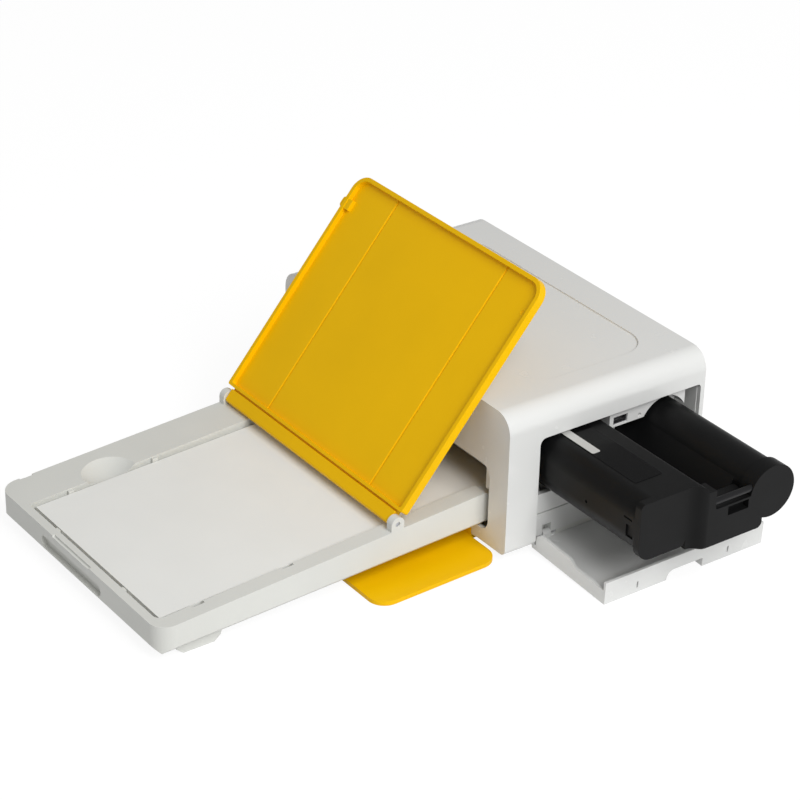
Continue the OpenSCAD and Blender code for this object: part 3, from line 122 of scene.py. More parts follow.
class Texture(Enum):
    """How the surface of a finish is broken up."""

    POLISHED = "polished"
    SPARKED = "sparked"
    BRUSHED = "brushed"
    WOUND = "wound"
    LAYERED = "layered"
    TRACED = "traced"


# ---- Finishes ---------------------------------------------------------------------------


class NodeSheet:
    """The node tree of one material, with short ways to add and join nodes."""

    def __init__(self, name: str) -> None:
        """Makes an empty material.

        Args:
            name: Name of the material.
        """
        self.material = bpy.data.materials.new(name)
        self.material.use_nodes = True
        self.nodes = self.material.node_tree.nodes
        self.links = self.material.node_tree.links
        self.shader = self.nodes["Principled BSDF"]
        self.output = self.nodes["Material Output"]

    def add(self, kind: str, settings: dict | None = None, **inputs: object) -> bpy.types.Node:
        """Adds a node.

        Args:
            kind: Blender's type name without ShaderNode in front.
            settings: Properties of the node.
            **inputs: Values or sockets for its inputs, spaces written as underscores.

        Returns:
            The new node.
        """
        node = self.nodes.new("ShaderNode" + kind)
        for key, value in (settings or {}).items():
            setattr(node, key, value)
        for key, value in inputs.items():
            self.feed(node.inputs[key.replace("_", " ")], value)
        return node

    def feed(self, socket: bpy.types.NodeSocket, value: object) -> None:
        """Sets a socket to a value, or links it to another socket."""
        if isinstance(value, bpy.types.NodeSocket):
            self.links.new(value, socket)
        else:
            socket.default_value = value

    def place(self, scale: Triple = (1, 1, 1)) -> bpy.types.NodeSocket:
        """Object coordinates, stretched by a scale along each axis."""
        source = self.add("TexCoord").outputs["Object"]
        return self.add("Mapping", None, Vector=source, Scale=scale).outputs["Vector"]

    def noise(self, size_mm: float, detail: float,
              scale: Triple = (1, 1, 1)) -> bpy.types.NodeSocket:
        """Noise whose features are about size_mm across, as a factor."""
        node = self.add("TexNoise", None, Vector=self.place(scale), Scale=1 / (size_mm * MM),
                        Detail=detail)
        return node.outputs["Fac"]

    def spread(self, factor: bpy.types.NodeSocket, low: float,
               high: float) -> bpy.types.NodeSocket:
        """The factor's middle range mapped to the numbers from low to high."""
        node = self.add("MapRange", {"clamp": True}, Value=factor, From_Min=FACTOR_LOW,
                        From_Max=FACTOR_HIGH, To_Min=low, To_Max=high)
        return node.outputs["Result"]

    def blend(self, factor: bpy.types.NodeSocket, first: Triple,
              second: Triple) -> bpy.types.NodeSocket:
        """A colour between two colours, by the factor's middle range."""
        ramp = self.add("ValToRGB", None, Fac=factor)
        stops = zip(ramp.color_ramp.elements, (FACTOR_LOW, FACTOR_HIGH), (first, second))
        for stop, position, colour in stops:
            stop.position = position
            stop.color = (*colour, 1)
        return ramp.outputs["Color"]

    def bump(self, height: bpy.types.NodeSocket, depth_mm: float) -> bpy.types.NodeSocket:
        """A normal raised by the height."""
        node = self.add("Bump", None, Height=height, Strength=1.0, Distance=depth_mm * MM)
        return node.outputs["Normal"]


def scaled(colour: Triple, factor: float) -> Triple:
    """A colour made lighter or darker, kept within what a surface can reflect."""
    return tuple(min(channel * factor, MOST_REFLECTED) for channel in colour)


# Size in millimetres and detail of the two slow drifts that every finish has.
COLOUR_DRIFT = (28, 3)
ROUGHNESS_DRIFT = (9, 4)
ROUGHNESS_SHARE = 0.06
TRACE_CELL_MM = 2.4
TRACE_LIGHTER = 1.9
TURNS_PER_GRAIN = 6
BRUSHED_ALONG_X = (0.04, 1, 1)
LAYERED_ALONG_Z = (0.01, 0.01, 1)


@dataclass(frozen=True)
class Finish:
    """A surface finish, from which a material is made.

    Attributes:
        name: Name of the material.
        slot: The record's material slot that it stands for; not used.
        colour: Linear base colour.
        roughness: Middle roughness.
        texture: How the surface is broken up.
        grain_mm: Size of the fine grain.
        depth_mm: Height of the fine grain.
        shade: How far the colour drifts over the surface, as a share.
        metallic: 1 for bare metal.
        coat: Weight of the clear gloss over it.
        coat_roughness: Roughness of that gloss.
        specular: Level of the mirror-like share of its reflection.
    """

    name: str
    slot: str
    colour: Triple
    roughness: float
    texture: Texture = Texture.SPARKED
    grain_mm: float = 0.35
    depth_mm: float = 0.004
    shade: float = 0.03
    metallic: float = 0.0
    coat: float = 0.0
    coat_roughness: float = 0.1
    specular: float = 0.35

    def material(self) -> bpy.types.Material:
        """Builds the node tree.

        Returns:
            The finished material.
        """
        sheet = NodeSheet(self.name)
        shader = sheet.shader
        low, high = scaled(self.colour, 1 - self.shade), scaled(self.colour, 1 + self.shade)
        colour = sheet.blend(sheet.noise(*COLOUR_DRIFT), low, high)
        smooth_end, rough_end = (self.roughness * (1 + sign * ROUGHNESS_SHARE) for sign in (-1, 1))
        smudge = sheet.spread(sheet.noise(*ROUGHNESS_DRIFT), smooth_end, rough_end)
        grain = self.grain(sheet)
        if self.texture is Texture.TRACED:
            colour = self.traces(sheet)
        sheet.feed(shader.inputs["Base Color"], colour)
        sheet.feed(shader.inputs["Roughness"], smudge)
        sheet.feed(shader.inputs["Normal"], grain)
        shader.inputs["Metallic"].default_value = self.metallic
        shader.inputs["Coat Weight"].default_value = self.coat
        shader.inputs["Coat Roughness"].default_value = self.coat_roughness
        shader.inputs["Specular IOR Level"].default_value = self.specular
        return sheet.material

    def grain(self, sheet: NodeSheet) -> bpy.types.NodeSocket:
        """The fine relief of the surface as a normal."""
        if self.texture is Texture.BRUSHED:
            height = sheet.noise(self.grain_mm, 2, BRUSHED_ALONG_X)
        elif self.texture is Texture.WOUND:
            turns = sheet.add("TexWave", {"bands_direction": "X"}, Vector=sheet.place(),
                              Scale=1 / (self.grain_mm * MM * TURNS_PER_GRAIN))
            height = turns.outputs["Fac"]
        elif self.texture is Texture.LAYERED:
            height = sheet.noise(self.grain_mm, 1, LAYERED_ALONG_Z)
        elif self.texture is Texture.POLISHED:
            height = sheet.noise(self.grain_mm, 1)
        else:
            height = sheet.noise(self.grain_mm, 3)
        return sheet.bump(height, self.depth_mm)

    def traces(self, sheet: NodeSheet) -> bpy.types.NodeSocket:
        """Colour of a circuit board with paler runs under its lacquer."""
        settings = {"distance": "CHEBYCHEV", "feature": "F1"}
        cells = sheet.add("TexVoronoi", settings, Vector=sheet.place(),
                          Scale=1 / (TRACE_CELL_MM * MM))
        lighter = scaled(self.colour, TRACE_LIGHTER)
        return sheet.blend(cells.outputs["Distance"], self.colour, lighter)


GLOSS_WHITE = Finish("gloss_white_moulding", "gloss_white", (0.77, 0.775, 0.76), 0.26,
                     Texture.POLISHED, grain_mm=9, depth_mm=0.0001, shade=0.006, coat=0.25,
                     specular=0.4)
INNER_WHITE = Finish("inner_white_moulding", "gloss_white", (0.74, 0.74, 0.73), 0.42,
                     grain_mm=0.8, depth_mm=0.002, shade=0.015)
TRAY_WHITE = Finish("tray_white_moulding", "tray_white", (0.70, 0.705, 0.67), 0.5,
                    grain_mm=0.7, depth_mm=0.003, shade=0.02, specular=0.25)
YELLOW = Finish("yellow_moulding", "yellow", (0.92, 0.53, 0.0), 0.42,
                grain_mm=0.8, depth_mm=0.002, shade=0.02, specular=0.14)
BLACK = Finish("black_moulding", "black", (0.0056, 0.0057, 0.0059), 0.44,
               grain_mm=0.7, depth_mm=0.006, shade=0.12, specular=0.13)
BLACK_SMOOTH = Finish("black_smooth_moulding", "black", (0.010, 0.010, 0.011), 0.32,
                      grain_mm=0.8, depth_mm=0.001, shade=0.08, specular=0.3)
LABEL_BLACK = Finish("label_black", "label", (0.004, 0.004, 0.0042), 0.2, Texture.POLISHED,
                     grain_mm=5, depth_mm=0.002, shade=0.1, specular=0.08)
LABEL_PALE = Finish("label_pale", "label", (0.55, 0.55, 0.53), 0.35, Texture.POLISHED,
                    grain_mm=5, depth_mm=0.002, shade=0.04)
STEEL = Finish("brushed_plate", "steel", (0.55, 0.55, 0.57), 0.34, Texture.BRUSHED,
               grain_mm=0.5, depth_mm=0.003, shade=0.05, metallic=1.0)
ALUMINIUM = Finish("head_aluminium", "aluminium", (0.66, 0.67, 0.69), 0.38, Texture.BRUSHED,
                   grain_mm=0.4, depth_mm=0.003, shade=0.04, metallic=1.0)
RUBBER = Finish("matt_rubber", "rubber", (0.022, 0.022, 0.023), 0.75,
                grain_mm=0.6, depth_mm=0.012, shade=0.15, specular=0.2)
NYLON = Finish("natural_nylon", "nylon", (0.68, 0.65, 0.55), 0.45,
               grain_mm=0.7, depth_mm=0.003, shade=0.04)
PAPER = Finish("photo_paper", "paper", (0.85, 0.855, 0.83), 0.5, Texture.LAYERED,
               grain_mm=0.4, depth_mm=0.02, shade=0.012, specular=0.25)
FILM = Finish("dye_film", "film", (0.008, 0.008, 0.011), 0.25, Texture.WOUND,
              grain_mm=0.3, depth_mm=0.004, shade=0.2, specular=0.3)
BOARD = Finish("board_lacquer", "board", (0.012, 0.11, 0.05), 0.35, Texture.TRACED,
               grain_mm=0.8, depth_mm=0.004, coat=0.3)


class Paintbox:
    """Makes each finish's material once and hands it out."""

    def __init__(self) -> None:
        """Starts with no material made."""
        self.made: dict[str, bpy.types.Material] = {}

    def get(self, finish: Finish) -> bpy.types.Material:
        """The material of a finish."""
        if finish.name not in self.made:
            self.made[finish.name] = finish.material()
        return self.made[finish.name]

    def paint(self, piece: bpy.types.Object, finish: Finish) -> None:
        """Gives a whole piece one finish through its material slots."""
        material = self.get(finish)
        if not piece.material_slots:
            piece.data.materials.append(material)
        for held in piece.material_slots:
            held.material = material


# ---- Modelling tools --------------------------------------------------------------------


def choose(piece: bpy.types.Object | None) -> None:
    """Deselects everything and makes one piece active, if one is given."""
    if bpy.context.object is not None and bpy.context.object.mode != "OBJECT":
        bpy.ops.object.mode_set(mode="OBJECT")
    bpy.ops.object.select_all(action="DESELECT")
    if piece is not None:
        piece.select_set(True)
        bpy.context.view_layer.objects.active = piece


def select_edges(piece: bpy.types.Object, test: EdgeTest) -> int:
    """Selects edges by their place and direction, in object mode.

    Args:
        piece: The mesh object.
        test: Takes an edge's middle and unit direction in millimetres, and says if it is taken.

    Returns:
        The number of edges selected.
    """
    mesh = piece.data
    for face in mesh.polygons:
        face.select = False
    for vertex in mesh.vertices:
        vertex.select = False
    taken = 0
    for edge in mesh.edges:
        a, b = (mesh.vertices[i].co / MM for i in edge.vertices)
        edge.select = test((a + b) / 2, (b - a).normalized())
        taken += edge.select
    for edge in mesh.edges:
        if edge.select:
            for i in edge.vertices:
                mesh.vertices[i].select = True
    return taken


def edit_bevel(piece: bpy.types.Object, test: EdgeTest, width: float, segments: int) -> None:
    """Rounds chosen edges in edit mode.

    Args:
        piece: The mesh object.
        test: Says which edges are rounded.
        width: Width of the round in millimetres.
        segments: Number of flats that make it up.
    """
    choose(piece)
    bpy.ops.object.mode_set(mode="EDIT")
    bpy.ops.mesh.select_mode(type="EDGE")
    bpy.ops.mesh.select_all(action="DESELECT")
    bpy.ops.object.mode_set(mode="OBJECT")
    taken = select_edges(piece, test)
    if taken:
        bpy.ops.object.mode_set(mode="EDIT")
        bpy.ops.mesh.bevel(offset=width * MM, segments=segments, profile=0.5, clamp_overlap=True)
        bpy.ops.object.mode_set(mode="OBJECT")
    else:
        LOG.warning("%s: no edge was taken for rounding", piece.name)


def room_across(mesh: bpy.types.Mesh, edge: bpy.types.MeshEdge,
                face: bpy.types.MeshPolygon) -> float:
    """How far a face reaches away from one of its edges before another edge of it starts.

    Args:
        mesh: The mesh of both.
        edge: The edge.
        face: The face beside it.

    Returns:
        The distance in millimetres, leaving out what runs on smoothly from the edge's ends.
    """
    a, b = (mesh.vertices[i].co for i in edge.vertices)
    along = (b - a).normalized()
    room = UNBOUNDED
    for i in face.vertices:
        if i in edge.vertices:
            continue
        point = mesh.vertices[i].co
        away = min((point - a, point - b), key=lambda v: v.length)
        across = (away - along * away.dot(along)).length
        if across > away.length * RUN_ON and across > SAME_PLACE:
            room = min(room, across / MM)
    return room


def crossed_spots(mesh: bpy.types.Mesh) -> list[Vector]:
    """Where the outline of a face runs over itself, so that the face can't be filled.

    Args:
        mesh: The mesh that is looked at.

    Returns:
        The ends of the edges that cross, in metres.
    """
    mesh.calc_loop_triangles()
    turned = set()
    for part in mesh.loop_triangles:
        face = mesh.polygons[part.polygon_index]
        a, b, c = (mesh.vertices[i].co for i in part.vertices)
        across = (b - a).cross(c - a)
        if across.length > TURNED_AREA and across.normalized().dot(face.normal) < TURNED_DOT:
            turned.add(face.index)
    spots = []
    for index in sorted(turned):
        face = mesh.polygons[index]
        right = face.normal.orthogonal().normalized()
        above = face.normal.cross(right)
        ring = [mesh.vertices[i].co for i in face.vertices]
        flat = [Vector((co.dot(right), co.dot(above))) / MM for co in ring]
        count = len(ring)
        found = len(spots)
        for i in range(count):
            for j in range(i + 2, count):
                ends = (i, (i + 1) % count, j, (j + 1) % count)
                if len(set(ends)) == 4 and crosses(*(flat[k] for k in ends)):
                    spots += [ring[k].copy() for k in ends]
        if len(spots) == found:
            spots.append(face.center.copy())
    return spots


def crosses(a: Vector, b: Vector, c: Vector, d: Vector) -> bool:
    """True where the flat line from a to b crosses the one from c to d."""
    def side(start: Vector, end: Vector, point: Vector) -> float:
        """Above 0 on one side of the line, below 0 on the other."""
        return (end.x - start.x) * (point.y - start.y) - (end.y - start.y) * (point.x - start.x)

    return (side(a, b, c) * side(a, b, d) < -CROSSING
            and side(c, d, a) * side(c, d, b) < -CROSSING)


def soften(piece: bpy.types.Object, width: float, segments: int = 2,
           mated: EdgeTest | None = None, spots: Sequence[Vector] = ()) -> None:
    """Rounds the sharp edges of a piece with a Bevel modifier and applies it.

    Each edge's round is as wide as asked, or narrower where the faces beside it are narrow.

    Args:
        piece: The mesh object.
        width: Widest round in millimetres.
        segments: Number of flats that make it up.
        mated: Says which edges stay sharp, such as where the piece meets another without a gap.
        spots: Points in metres near which the rounds are made narrower.
    """
    mesh = piece.data
    sides: dict[tuple[int, int], list[bpy.types.MeshPolygon]] = {}
    for face in mesh.polygons:
        for key in face.edge_keys:
            sides.setdefault(key, []).append(face)
    limit = math.cos(SHARP_ANGLE)
    widths = []
    for edge in mesh.edges:
        beside = sides[edge.key]
        share = 0.0
        if len(beside) == 2 and beside[0].normal.dot(beside[1].normal) < limit:
            a, b = (mesh.vertices[i].co / MM for i in edge.vertices)
            if mated is None or not mated((a + b) / 2, (b - a).normalized()):
                room = min(room_across(mesh, edge, face) for face in beside)
                share = min(1.0, ROOM_SHARE * room / width)
                ends = [mesh.vertices[i].co for i in edge.vertices]
                if any(min((end - spot).length for end in ends) < SPOT_REACH for spot in spots):
                    share *= NARROWER
        widths.append(share)
    mesh.attributes.new("bevel_weight_edge", "FLOAT", "EDGE").data.foreach_set("value", widths)
    choose(piece)
    bevel = piece.modifiers.new("edge_round", "BEVEL")
    bevel.width = width * MM
    bevel.segments = segments
    bevel.limit_method = "WEIGHT"
    bevel.use_clamp_overlap = False
    bevel.miter_outer = "MITER_ARC"
    bpy.ops.object.modifier_apply(modifier=bevel.name)
    mesh.attributes.remove(mesh.attributes["bevel_weight_edge"])


def smooth(piece: bpy.types.Object) -> None:
    """Shades the piece smooth, sharp past SMOOTH_ANGLE, with flat faces kept flat."""
    choose(piece)
    bpy.ops.object.shade_smooth_by_angle(angle=SMOOTH_ANGLE)
    even = piece.modifiers.new("even_faces", "WEIGHTED_NORMAL")
    even.keep_sharp = True
    bpy.ops.object.modifier_apply(modifier=even.name)


def box(name: str, low: Triple, high: Triple) -> bpy.types.Object:
    """A block between two corners in millimetres, to be shaped further.

    Args:
        name: Name of the piece.
        low: Lowest corner.
        high: Highest corner.

    Returns:
        The block, with its place in its mesh.
    """
    choose(None)
    middle = [(a + b) / 2 * MM for a, b in zip(low, high)]
    size = [(b - a) * MM for a, b in zip(low, high)]
    bpy.ops.mesh.primitive_cube_add(size=1, location=middle, scale=size)
    return settle(bpy.context.object, name)


def settle(piece: bpy.types.Object, name: str) -> bpy.types.Object:
    """Names a piece and moves its place, turn and scale into its mesh."""
    piece.name = piece.data.name = name
    choose(piece)
    bpy.ops.object.transform_apply(location=True, rotation=True, scale=True)
    return piece


def merged_copy(node: bpy.types.Object, name: str) -> bpy.types.Object:
    """A copy of a CAD node's mesh with its triangles joined into whole faces.

    Args:
        node: The CAD node's object.
        name: Name of the copy.

    Returns:
        The copy.
    """
    choose(None)
    piece = bpy.data.objects.new(name, node.data.copy())
    piece.data.name = name
    bpy.context.scene.collection.objects.link(piece)
    choose(piece)
    bpy.ops.object.mode_set(mode="EDIT")
    bpy.ops.mesh.select_all(action="SELECT")
    bpy.ops.mesh.remove_doubles(threshold=MERGE_DISTANCE)
    bpy.ops.mesh.dissolve_limited(angle_limit=FLAT_ANGLE)
    bpy.ops.object.mode_set(mode="OBJECT")
    return piece


# ---- Sub-assemblies ---------------------------------------------------------------------


@dataclass
class SubAssembly:
    """A group of pieces that are built and dressed together.

    Attributes:
        paints: The shared materials.
    """

    frame: dict
    paints: Paintbox

    def node(self, name: str) -> bpy.types.Object:
        """The object of a CAD node."""
        return self.frame["nodes"][name]

    def body(self, name: str) -> str:
        """The body that a CAD node rides on."""
        return self.node(name)["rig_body"]

    def dress(self, finish: Finish, *names: str) -> None:
        """Gives CAD nodes a finish and leaves their shape."""
        for name in names:
            self.paints.paint(self.node(name), finish)
            LOG.info("dressed %s in %s", name, finish.name)

    def soft_copy(self, name: str, finish: Finish, width: float, segments: int = 2,
                  rounds: Sequence[tuple[EdgeTest, float, int]] = (),
                  mated: EdgeTest | None = None) -> bpy.types.Object:
        """Stands a copy with rounded edges in a CAD node's place.

        Args:
            name: The CAD node.
            finish: The copy's finish.
            width: Width of the round on every sharp edge, in millimetres.
            segments: Flats in that round.
            rounds: Wider rounds, each an edge test, a width and its flats.
            mated: Says which edges stay sharp.

        Returns:
            The finished piece.
        """
        spots: list[Vector] = []
        for attempt in range(ATTEMPTS):
            piece = merged_copy(self.node(name), name + "_moulding")
            for test, wide, flats in rounds:
                edit_bevel(piece, test, wide, flats)
            if width > 0:
                soften(piece, width, segments, mated=mated, spots=spots)
            flaws = crossed_spots(piece.data) + self.spikes(piece, name)
            if not flaws:
                break
            if attempt < ATTEMPTS - 1:
                spots += [spot for spot in flaws
                          if all((spot - other).length > SPIKE_LENGTH for other in spots)]
                width *= LESS
                bpy.data.meshes.remove(piece.data)
            else:
                place = [round(value / MM, 1) for value in flaws[0]]
                LOG.warning("%s: %d flaws stay near %s", name, len(flaws), place)
        LOG.info("%s was rounded at attempt %d", name, attempt + 1)
        smooth(piece)
        return self.fit(piece, finish, self.body(name), name)

    @staticmethod
    def spikes(piece: bpy.types.Object, name: str) -> list[Vector]:
        """Where rounding pushed a vertex out of the node's own box, moved back to the box."""
        low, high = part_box(name)
        spots = []
        for vertex in piece.data.vertices:
            held = Vector(min(max(vertex.co[i], low[i]), high[i]) for i in range(3))
            if (held - vertex.co).length > SPIKE_LENGTH:
                spots.append(held)
        return spots

    def fit(self, piece: bpy.types.Object, finish: Finish, body: str,
            *replaced: str) -> bpy.types.Object:
        """Paints a finished piece, and makes it ride on its body."""
        piece.data.materials.clear()
        self.paints.paint(piece, finish)
        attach(piece, body)
        if replaced:
            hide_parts(*replaced)
        LOG.info("built %s with %d faces", piece.name, len(piece.data.polygons))
        return piece


@dataclass
class Housing(SubAssembly):
    """The white body with its base, rear panel, bay mouldings and button.

    Attributes:
        front: Where the front face lies, along Y.
        rear: Where the rear face lies.
        front_round: Width of the round along the front face's outline.
        rear_round: Width of the round along the rear face's outline.
        shoulder: Radius of the long upper edges, seen from the front.
        foot: Height below which the outline's sides keep their small round.
    """

    front: float = -52.8
    rear: float = 52.8
    front_round: float = 1.9
    rear_round: float = 0.8
    shoulder: float = 9.0
    foot: float = 8.0

    def build(self) -> None:
        """Builds the mouldings and dresses the rest."""
        def rim(face: float) -> EdgeTest:
            """The test for a face's edges along the body's outline."""
            def test(middle: Vector, along: Vector) -> bool:
                """True for an edge that lies in the face, on the outline."""
                in_face = abs(middle.y - face) < IN_FACE and abs(along.y) < LEVEL
                return in_face and self.on_outline(middle)
            return test

        self.soft_copy("outer_shell", GLOSS_WHITE, 0.4, 3,
                       [(rim(self.front), self.front_round, 5),
                        (rim(self.rear), self.rear_round, 3)])
        self.soft_copy("rear_panel", GLOSS_WHITE, 0.08, 1)
        self.soft_copy("base_plate", TRAY_WHITE, 0.06, 1)
        self.soft_copy("door_sill", GLOSS_WHITE, 0.12)
        self.soft_copy("inner_side_panel", GLOSS_WHITE, 0.25)
        self.soft_copy("bay_frame", INNER_WHITE, 0.2)
        self.soft_copy("power_button", GLOSS_WHITE, 0.35, 3)
        self.soft_copy("rubber_feet", RUBBER, 0.3)
        self.dress(STEEL, "base_screws", "flap_hinge_pins", "door_hinge_pins", "service_port",
                   "button_spring")
        self.dress(BOARD, "circuit_board", "switch_board")
        self.dress(BLACK, "power_jack")

    def on_outline(self, middle: Vector) -> bool:
        """True on the body's outer outline, seen from the front."""
        low, high = (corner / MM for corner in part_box("outer_shell"))
        side = min(middle.x - low.x, high.x - middle.x)
        top = high.z - middle.z
        at_side = side < ON_LINE and middle.z > self.foot
        return at_side or top < ON_LINE or self.on_shoulder(side, top)

    def on_shoulder(self, side: float, top: float) -> bool:
        """True on the round of an upper edge, from the distances to side and top."""
        near = max(side, top) < self.shoulder + ON_LINE
        reach = math.hypot(self.shoulder - side, self.shoulder - top)
        return near and abs(reach - self.shoulder) < ON_ROUND


@dataclass
class Tray(SubAssembly):
    """The paper tray, its paper and the raised lid.

    Attributes:
        scoop: Middle of the thumb scoop, along X and Y.
        scoop_reach: Radius about it that holds the scoop's rim.
        scoop_low: Height above which the rim lies.
        scoop_right: Where the rim ends before the well, along X.
        scoop_round: Width of the round along the rim.
    """

    scoop: tuple[float, float] = (-48.5, -168.0)
    scoop_reach: float = 16.0
    scoop_low: float = 18.5
    scoop_right: float = -44.8
    scoop_round: float = 2.2

    def build(self) -> None:
        """Builds tray, lid and paper."""
        def scoop_rim(middle: Vector, along: Vector) -> bool:
            """True for an edge of the thumb scoop's rim."""
            reach = math.hypot(middle.x - self.scoop[0], middle.y - self.scoop[1])
            in_reach = reach < self.scoop_reach and middle.x < self.scoop_right
            return in_reach and middle.z > self.scoop_low

        self.soft_copy("tray_base", TRAY_WHITE, 0.25, 2, [(scoop_rim, self.scoop_round, 5)])
        self.soft_copy("tray_feet", TRAY_WHITE, 0.3)
        self.soft_copy("tray_lid", YELLOW, 0.18)
        self.dress(PAPER, "paper_stack")
        self.dress(STEEL, "lid_hinge_pins")


@dataclass
class Covers(SubAssembly):
    """The front flap and the cartridge door."""

    def build(self) -> None:
        """Builds both covers."""
        self.soft_copy("front_flap", YELLOW, 0.35, 3)
        self.soft_copy("cartridge_door", GLOSS_WHITE, 0.3)


@dataclass
class Cartridge(SubAssembly):
    """The ribbon cartridge with its bare label.

    Attributes:
        label_corner: Radius of the label's corners.
        label_round: Width of the round on its edges.
        stripe_low: Lowest corner of the pale stripe on the label.
        stripe_high: Its highest corner.
    """

    label_corner: float = 0.9
    label_round: float = 0.03
    stripe_low: Triple = (63.1, -24.6, 54.9)
    stripe_high: Triple = (102.0, -20.3, 55.0)

    def build(self) -> None:
        """Builds the housings and the label."""
        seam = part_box("supply_housing")[1].x / MM

        def at_seam(middle: Vector, along: Vector) -> bool:
            """True for an edge where the housings meet the end block."""
            return abs(middle.x - seam) < AT_SEAM and abs(along.x) < LEVEL

        self.soft_copy("supply_housing", BLACK, 0.2, mated=at_seam)
        self.soft_copy("takeup_housing", BLACK, 0.2, mated=at_seam)
        self.soft_copy("cartridge_end_block", BLACK, 0.12, mated=at_seam)
        self.soft_copy("cartridge_grip_bar", BLACK_SMOOTH, 0.2)
        self.dress(NYLON, "supply_reel", "takeup_reel")
        self.dress(FILM, "supply_ribbon_roll", "takeup_ribbon_roll", "ribbon_web")
        low, high = (tuple(corner / MM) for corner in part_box("cartridge_label"))
        self.plate("label_plate", low, high, LABEL_BLACK, "cartridge_label")
        self.plate("label_stripe", self.stripe_low, self.stripe_high, LABEL_PALE)

    def plate(self, name: str, low: Triple, high: Triple, finish: Finish, *replaced: str) -> None:
        """Builds a thin plate with rounded corners on the supply housing.

        Args:
            name: Name of the plate.
            low: Lowest corner.
            high: Highest corner.
            finish: Its finish.
            *replaced: CAD nodes that it stands for.
        """
        def corners(middle: Vector, along: Vector) -> bool:
            """True for an upright edge."""
            return abs(along.z) > UPRIGHT

        piece = box(name, low, high)
        edit_bevel(piece, corners, self.label_corner, 4)
        soften(piece, self.label_round, 1)
        smooth(piece)
        self.fit(piece, finish, self.body("cartridge_label"), *replaced)


@dataclass
class Mechanism(SubAssembly):
    """Plates, gears, rollers and print head inside the body."""

    def build(self) -> None:
        """Dresses the mechanism."""
        self.dress(STEEL, "drive_side_plate", "gearbox_plate", "gearbox_standoffs",
                   "drive_motor", "motor_screws", "gear_posts", "platen_shaft", "feed_shaft",
                   "pinch_roller", "pick_shaft", "head_arm", "head_pivot_rod")
        self.dress(NYLON, "motor_pinion", "middle_gear", "platen_gear", "feed_gear",
                   "transfer_gear", "pick_gear", "takeup_gear", "takeup_drive_hub",
                   "supply_brake_hub")
        self.dress(RUBBER, "platen_roller", "feed_roller", "pick_roller")
        self.dress(ALUMINIUM, "print_head")


# ---- Studio -----------------------------------------------------------------------------


@dataclass
class Softbox:
    """An area lamp.

    Attributes:
        name: Name of the lamp.
        place: Its centre in metres.
        aim: The point it faces, in metres.
        size: Width and height in metres.
        power: Power in watts.
    """

    name: str
    place: Triple
    aim: Triple
    size: tuple[float, float]
    power: float

    def build(self) -> None:
        """Adds the lamp to the scene."""
        lamp = bpy.data.lights.new(self.name, "AREA")
        lamp.shape = "RECTANGLE"
        lamp.size, lamp.size_y = self.size
        lamp.energy = self.power
        holder = bpy.data.objects.new(self.name, lamp)
        bpy.context.scene.collection.objects.link(holder)
        holder.location = self.place
        towards = Vector(self.aim) - Vector(self.place)
        holder.rotation_euler = towards.to_track_quat("-Z", "Y").to_euler()


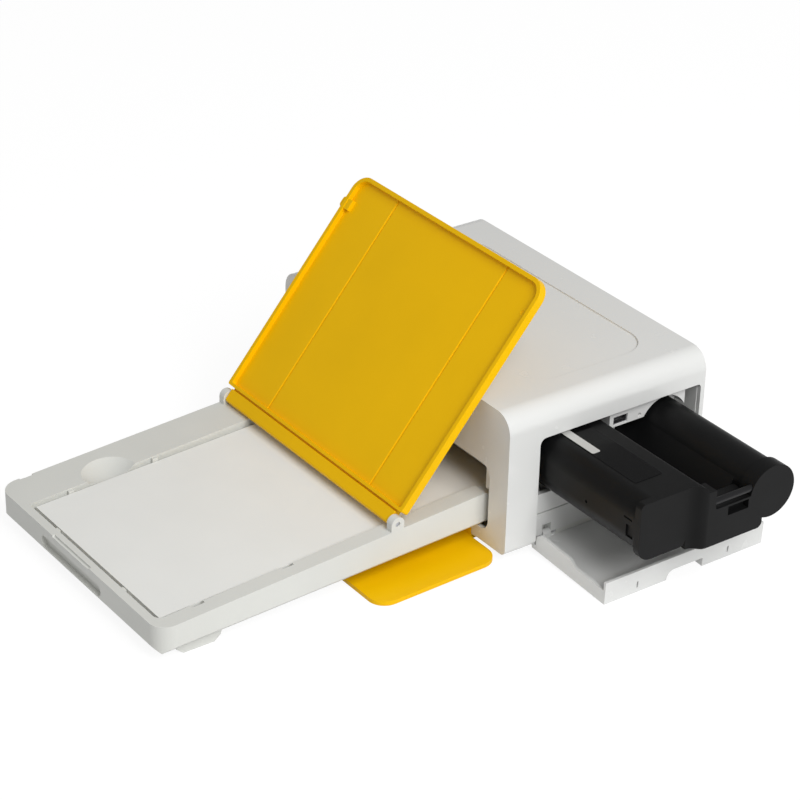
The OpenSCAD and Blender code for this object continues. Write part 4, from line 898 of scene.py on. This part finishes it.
@dataclass
class Studio:
    """Floor, surroundings, lamps and camera.

    Attributes:
        azimuth: Direction of the camera about the printer, in degrees from the front.
        elevation: Its height above the table, in degrees.
        roll: Its turn about its own axis, in degrees.
        eye: Its place in metres.
        lens: Its focal length in millimetres.
        sensor: Width of its sensor in millimetres.
        world_light: Strength of the even light from all around.
        floor_colour: Grey level of the floor as a surface.
        floor_shadow: Share of the surface's own shade that is seen.
        floor_white: Strength of the plain white mixed over it.
        floor_size: Width of the floor in metres.
        lamps: The lamps.
    """

    azimuth: float = 53.83
    elevation: float = 29.0
    roll: float = 1.35
    eye: Triple = (0.7949, -0.6291, 0.5858)
    lens: float = 116.96
    sensor: float = 36
    world_light: float = 0.38
    floor_colour: float = 0.80
    floor_shadow: float = 0.2
    floor_white: float = 1.12
    floor_size: float = 40
    lamps: list[Softbox] = field(default_factory=lambda: [
        Softbox("key_softbox", (1.05, -0.14, 0.98), (0.0, -0.03, 0.03), (0.8, 0.8), 15.0),
    ])

    def build(self) -> None:
        """Builds everything around the printer."""
        self.build_floor()
        self.build_world()
        for lamp in self.lamps:
            lamp.build()
        self.build_camera()
        bpy.context.scene.view_settings.view_transform = "Standard"

    def build_floor(self) -> None:
        """Adds a wide pale floor that keeps a soft shadow."""
        choose(None)
        bpy.ops.mesh.primitive_plane_add(size=self.floor_size, location=(0, 0, 0))
        floor = settle(bpy.context.object, "studio_floor")
        sheet = NodeSheet("pale_floor")
        plain = sheet.add("BsdfDiffuse", None, Color=(self.floor_colour,) * 3 + (1,))
        white = sheet.add("Emission", None, Color=(1, 1, 1, 1), Strength=self.floor_white)
        seen = self.seen_rays(sheet)
        share = sheet.add("Math", {"operation": "MULTIPLY"})
        sheet.feed(share.inputs[0], seen)
        share.inputs[1].default_value = 1 - self.floor_shadow
        mix = sheet.add("MixShader", None, Fac=share.outputs[0])
        sheet.links.new(plain.outputs[0], mix.inputs[1])
        sheet.links.new(white.outputs[0], mix.inputs[2])
        sheet.links.new(mix.outputs[0], sheet.output.inputs["Surface"])
        sheet.nodes.remove(sheet.shader)
        floor.data.materials.append(sheet.material)

    @staticmethod
    def seen_rays(sheet: NodeSheet) -> bpy.types.NodeSocket:
        """1 for what the camera sees straight, in gloss or through glass."""
        path = sheet.add("LightPath")
        first = sheet.add("Math", {"operation": "MAXIMUM"})
        sheet.feed(first.inputs[0], path.outputs["Is Camera Ray"])
        sheet.feed(first.inputs[1], path.outputs["Is Glossy Ray"])
        both = sheet.add("Math", {"operation": "MAXIMUM"})
        sheet.feed(both.inputs[0], first.outputs[0])
        sheet.feed(both.inputs[1], path.outputs["Is Transmission Ray"])
        return both.outputs[0]

    def build_world(self) -> None:
        """Lights the scene evenly and shows white behind it."""
        world = bpy.data.worlds.new("studio_white")
        bpy.context.scene.world = world
        world.use_nodes = True
        nodes, links = world.node_tree.nodes, world.node_tree.links
        back = nodes["Background"]
        back.inputs["Color"].default_value = (1, 1, 1, 1)
        path = nodes.new("ShaderNodeLightPath")
        pick = nodes.new("ShaderNodeMapRange")
        pick.inputs["To Min"].default_value = self.world_light
        pick.inputs["To Max"].default_value = 1.0
        links.new(path.outputs["Is Camera Ray"], pick.inputs["Value"])
        links.new(pick.outputs["Result"], back.inputs["Strength"])

    def build_camera(self) -> None:
        """Adds the camera."""
        around, up = math.radians(self.azimuth), math.radians(self.elevation)
        back = Vector((math.sin(around) * math.cos(up), -math.cos(around) * math.cos(up),
                       math.sin(up)))
        right = Vector((math.cos(around), math.sin(around), 0))
        above = back.cross(right)
        tilt = math.radians(self.roll)
        right_rolled = right * math.cos(tilt) + above * math.sin(tilt)
        above_rolled = above * math.cos(tilt) - right * math.sin(tilt)
        lens = bpy.data.cameras.new("studio_camera")
        lens.lens = self.lens
        lens.sensor_width = self.sensor
        lens.clip_start, lens.clip_end = 0.05, 60
        camera = bpy.data.objects.new("studio_camera", lens)
        bpy.context.scene.collection.objects.link(camera)
        turn = Matrix((right_rolled, above_rolled, back)).transposed()
        camera.matrix_world = Matrix.Translation(self.eye) @ turn.to_4x4()
        bpy.context.scene.camera = camera


def main() -> None:
    """Builds the printer's looks and the studio."""
    logging.basicConfig(level=logging.INFO, format="%(name)s: %(message)s")
    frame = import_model()
    paints = Paintbox()
    for kind in (Housing, Tray, Covers, Cartridge, Mechanism):
        LOG.info("sub-assembly %s", kind.__name__)
        kind(frame, paints).build()
    Studio().build()


if __name__ == "__main__":
    main()
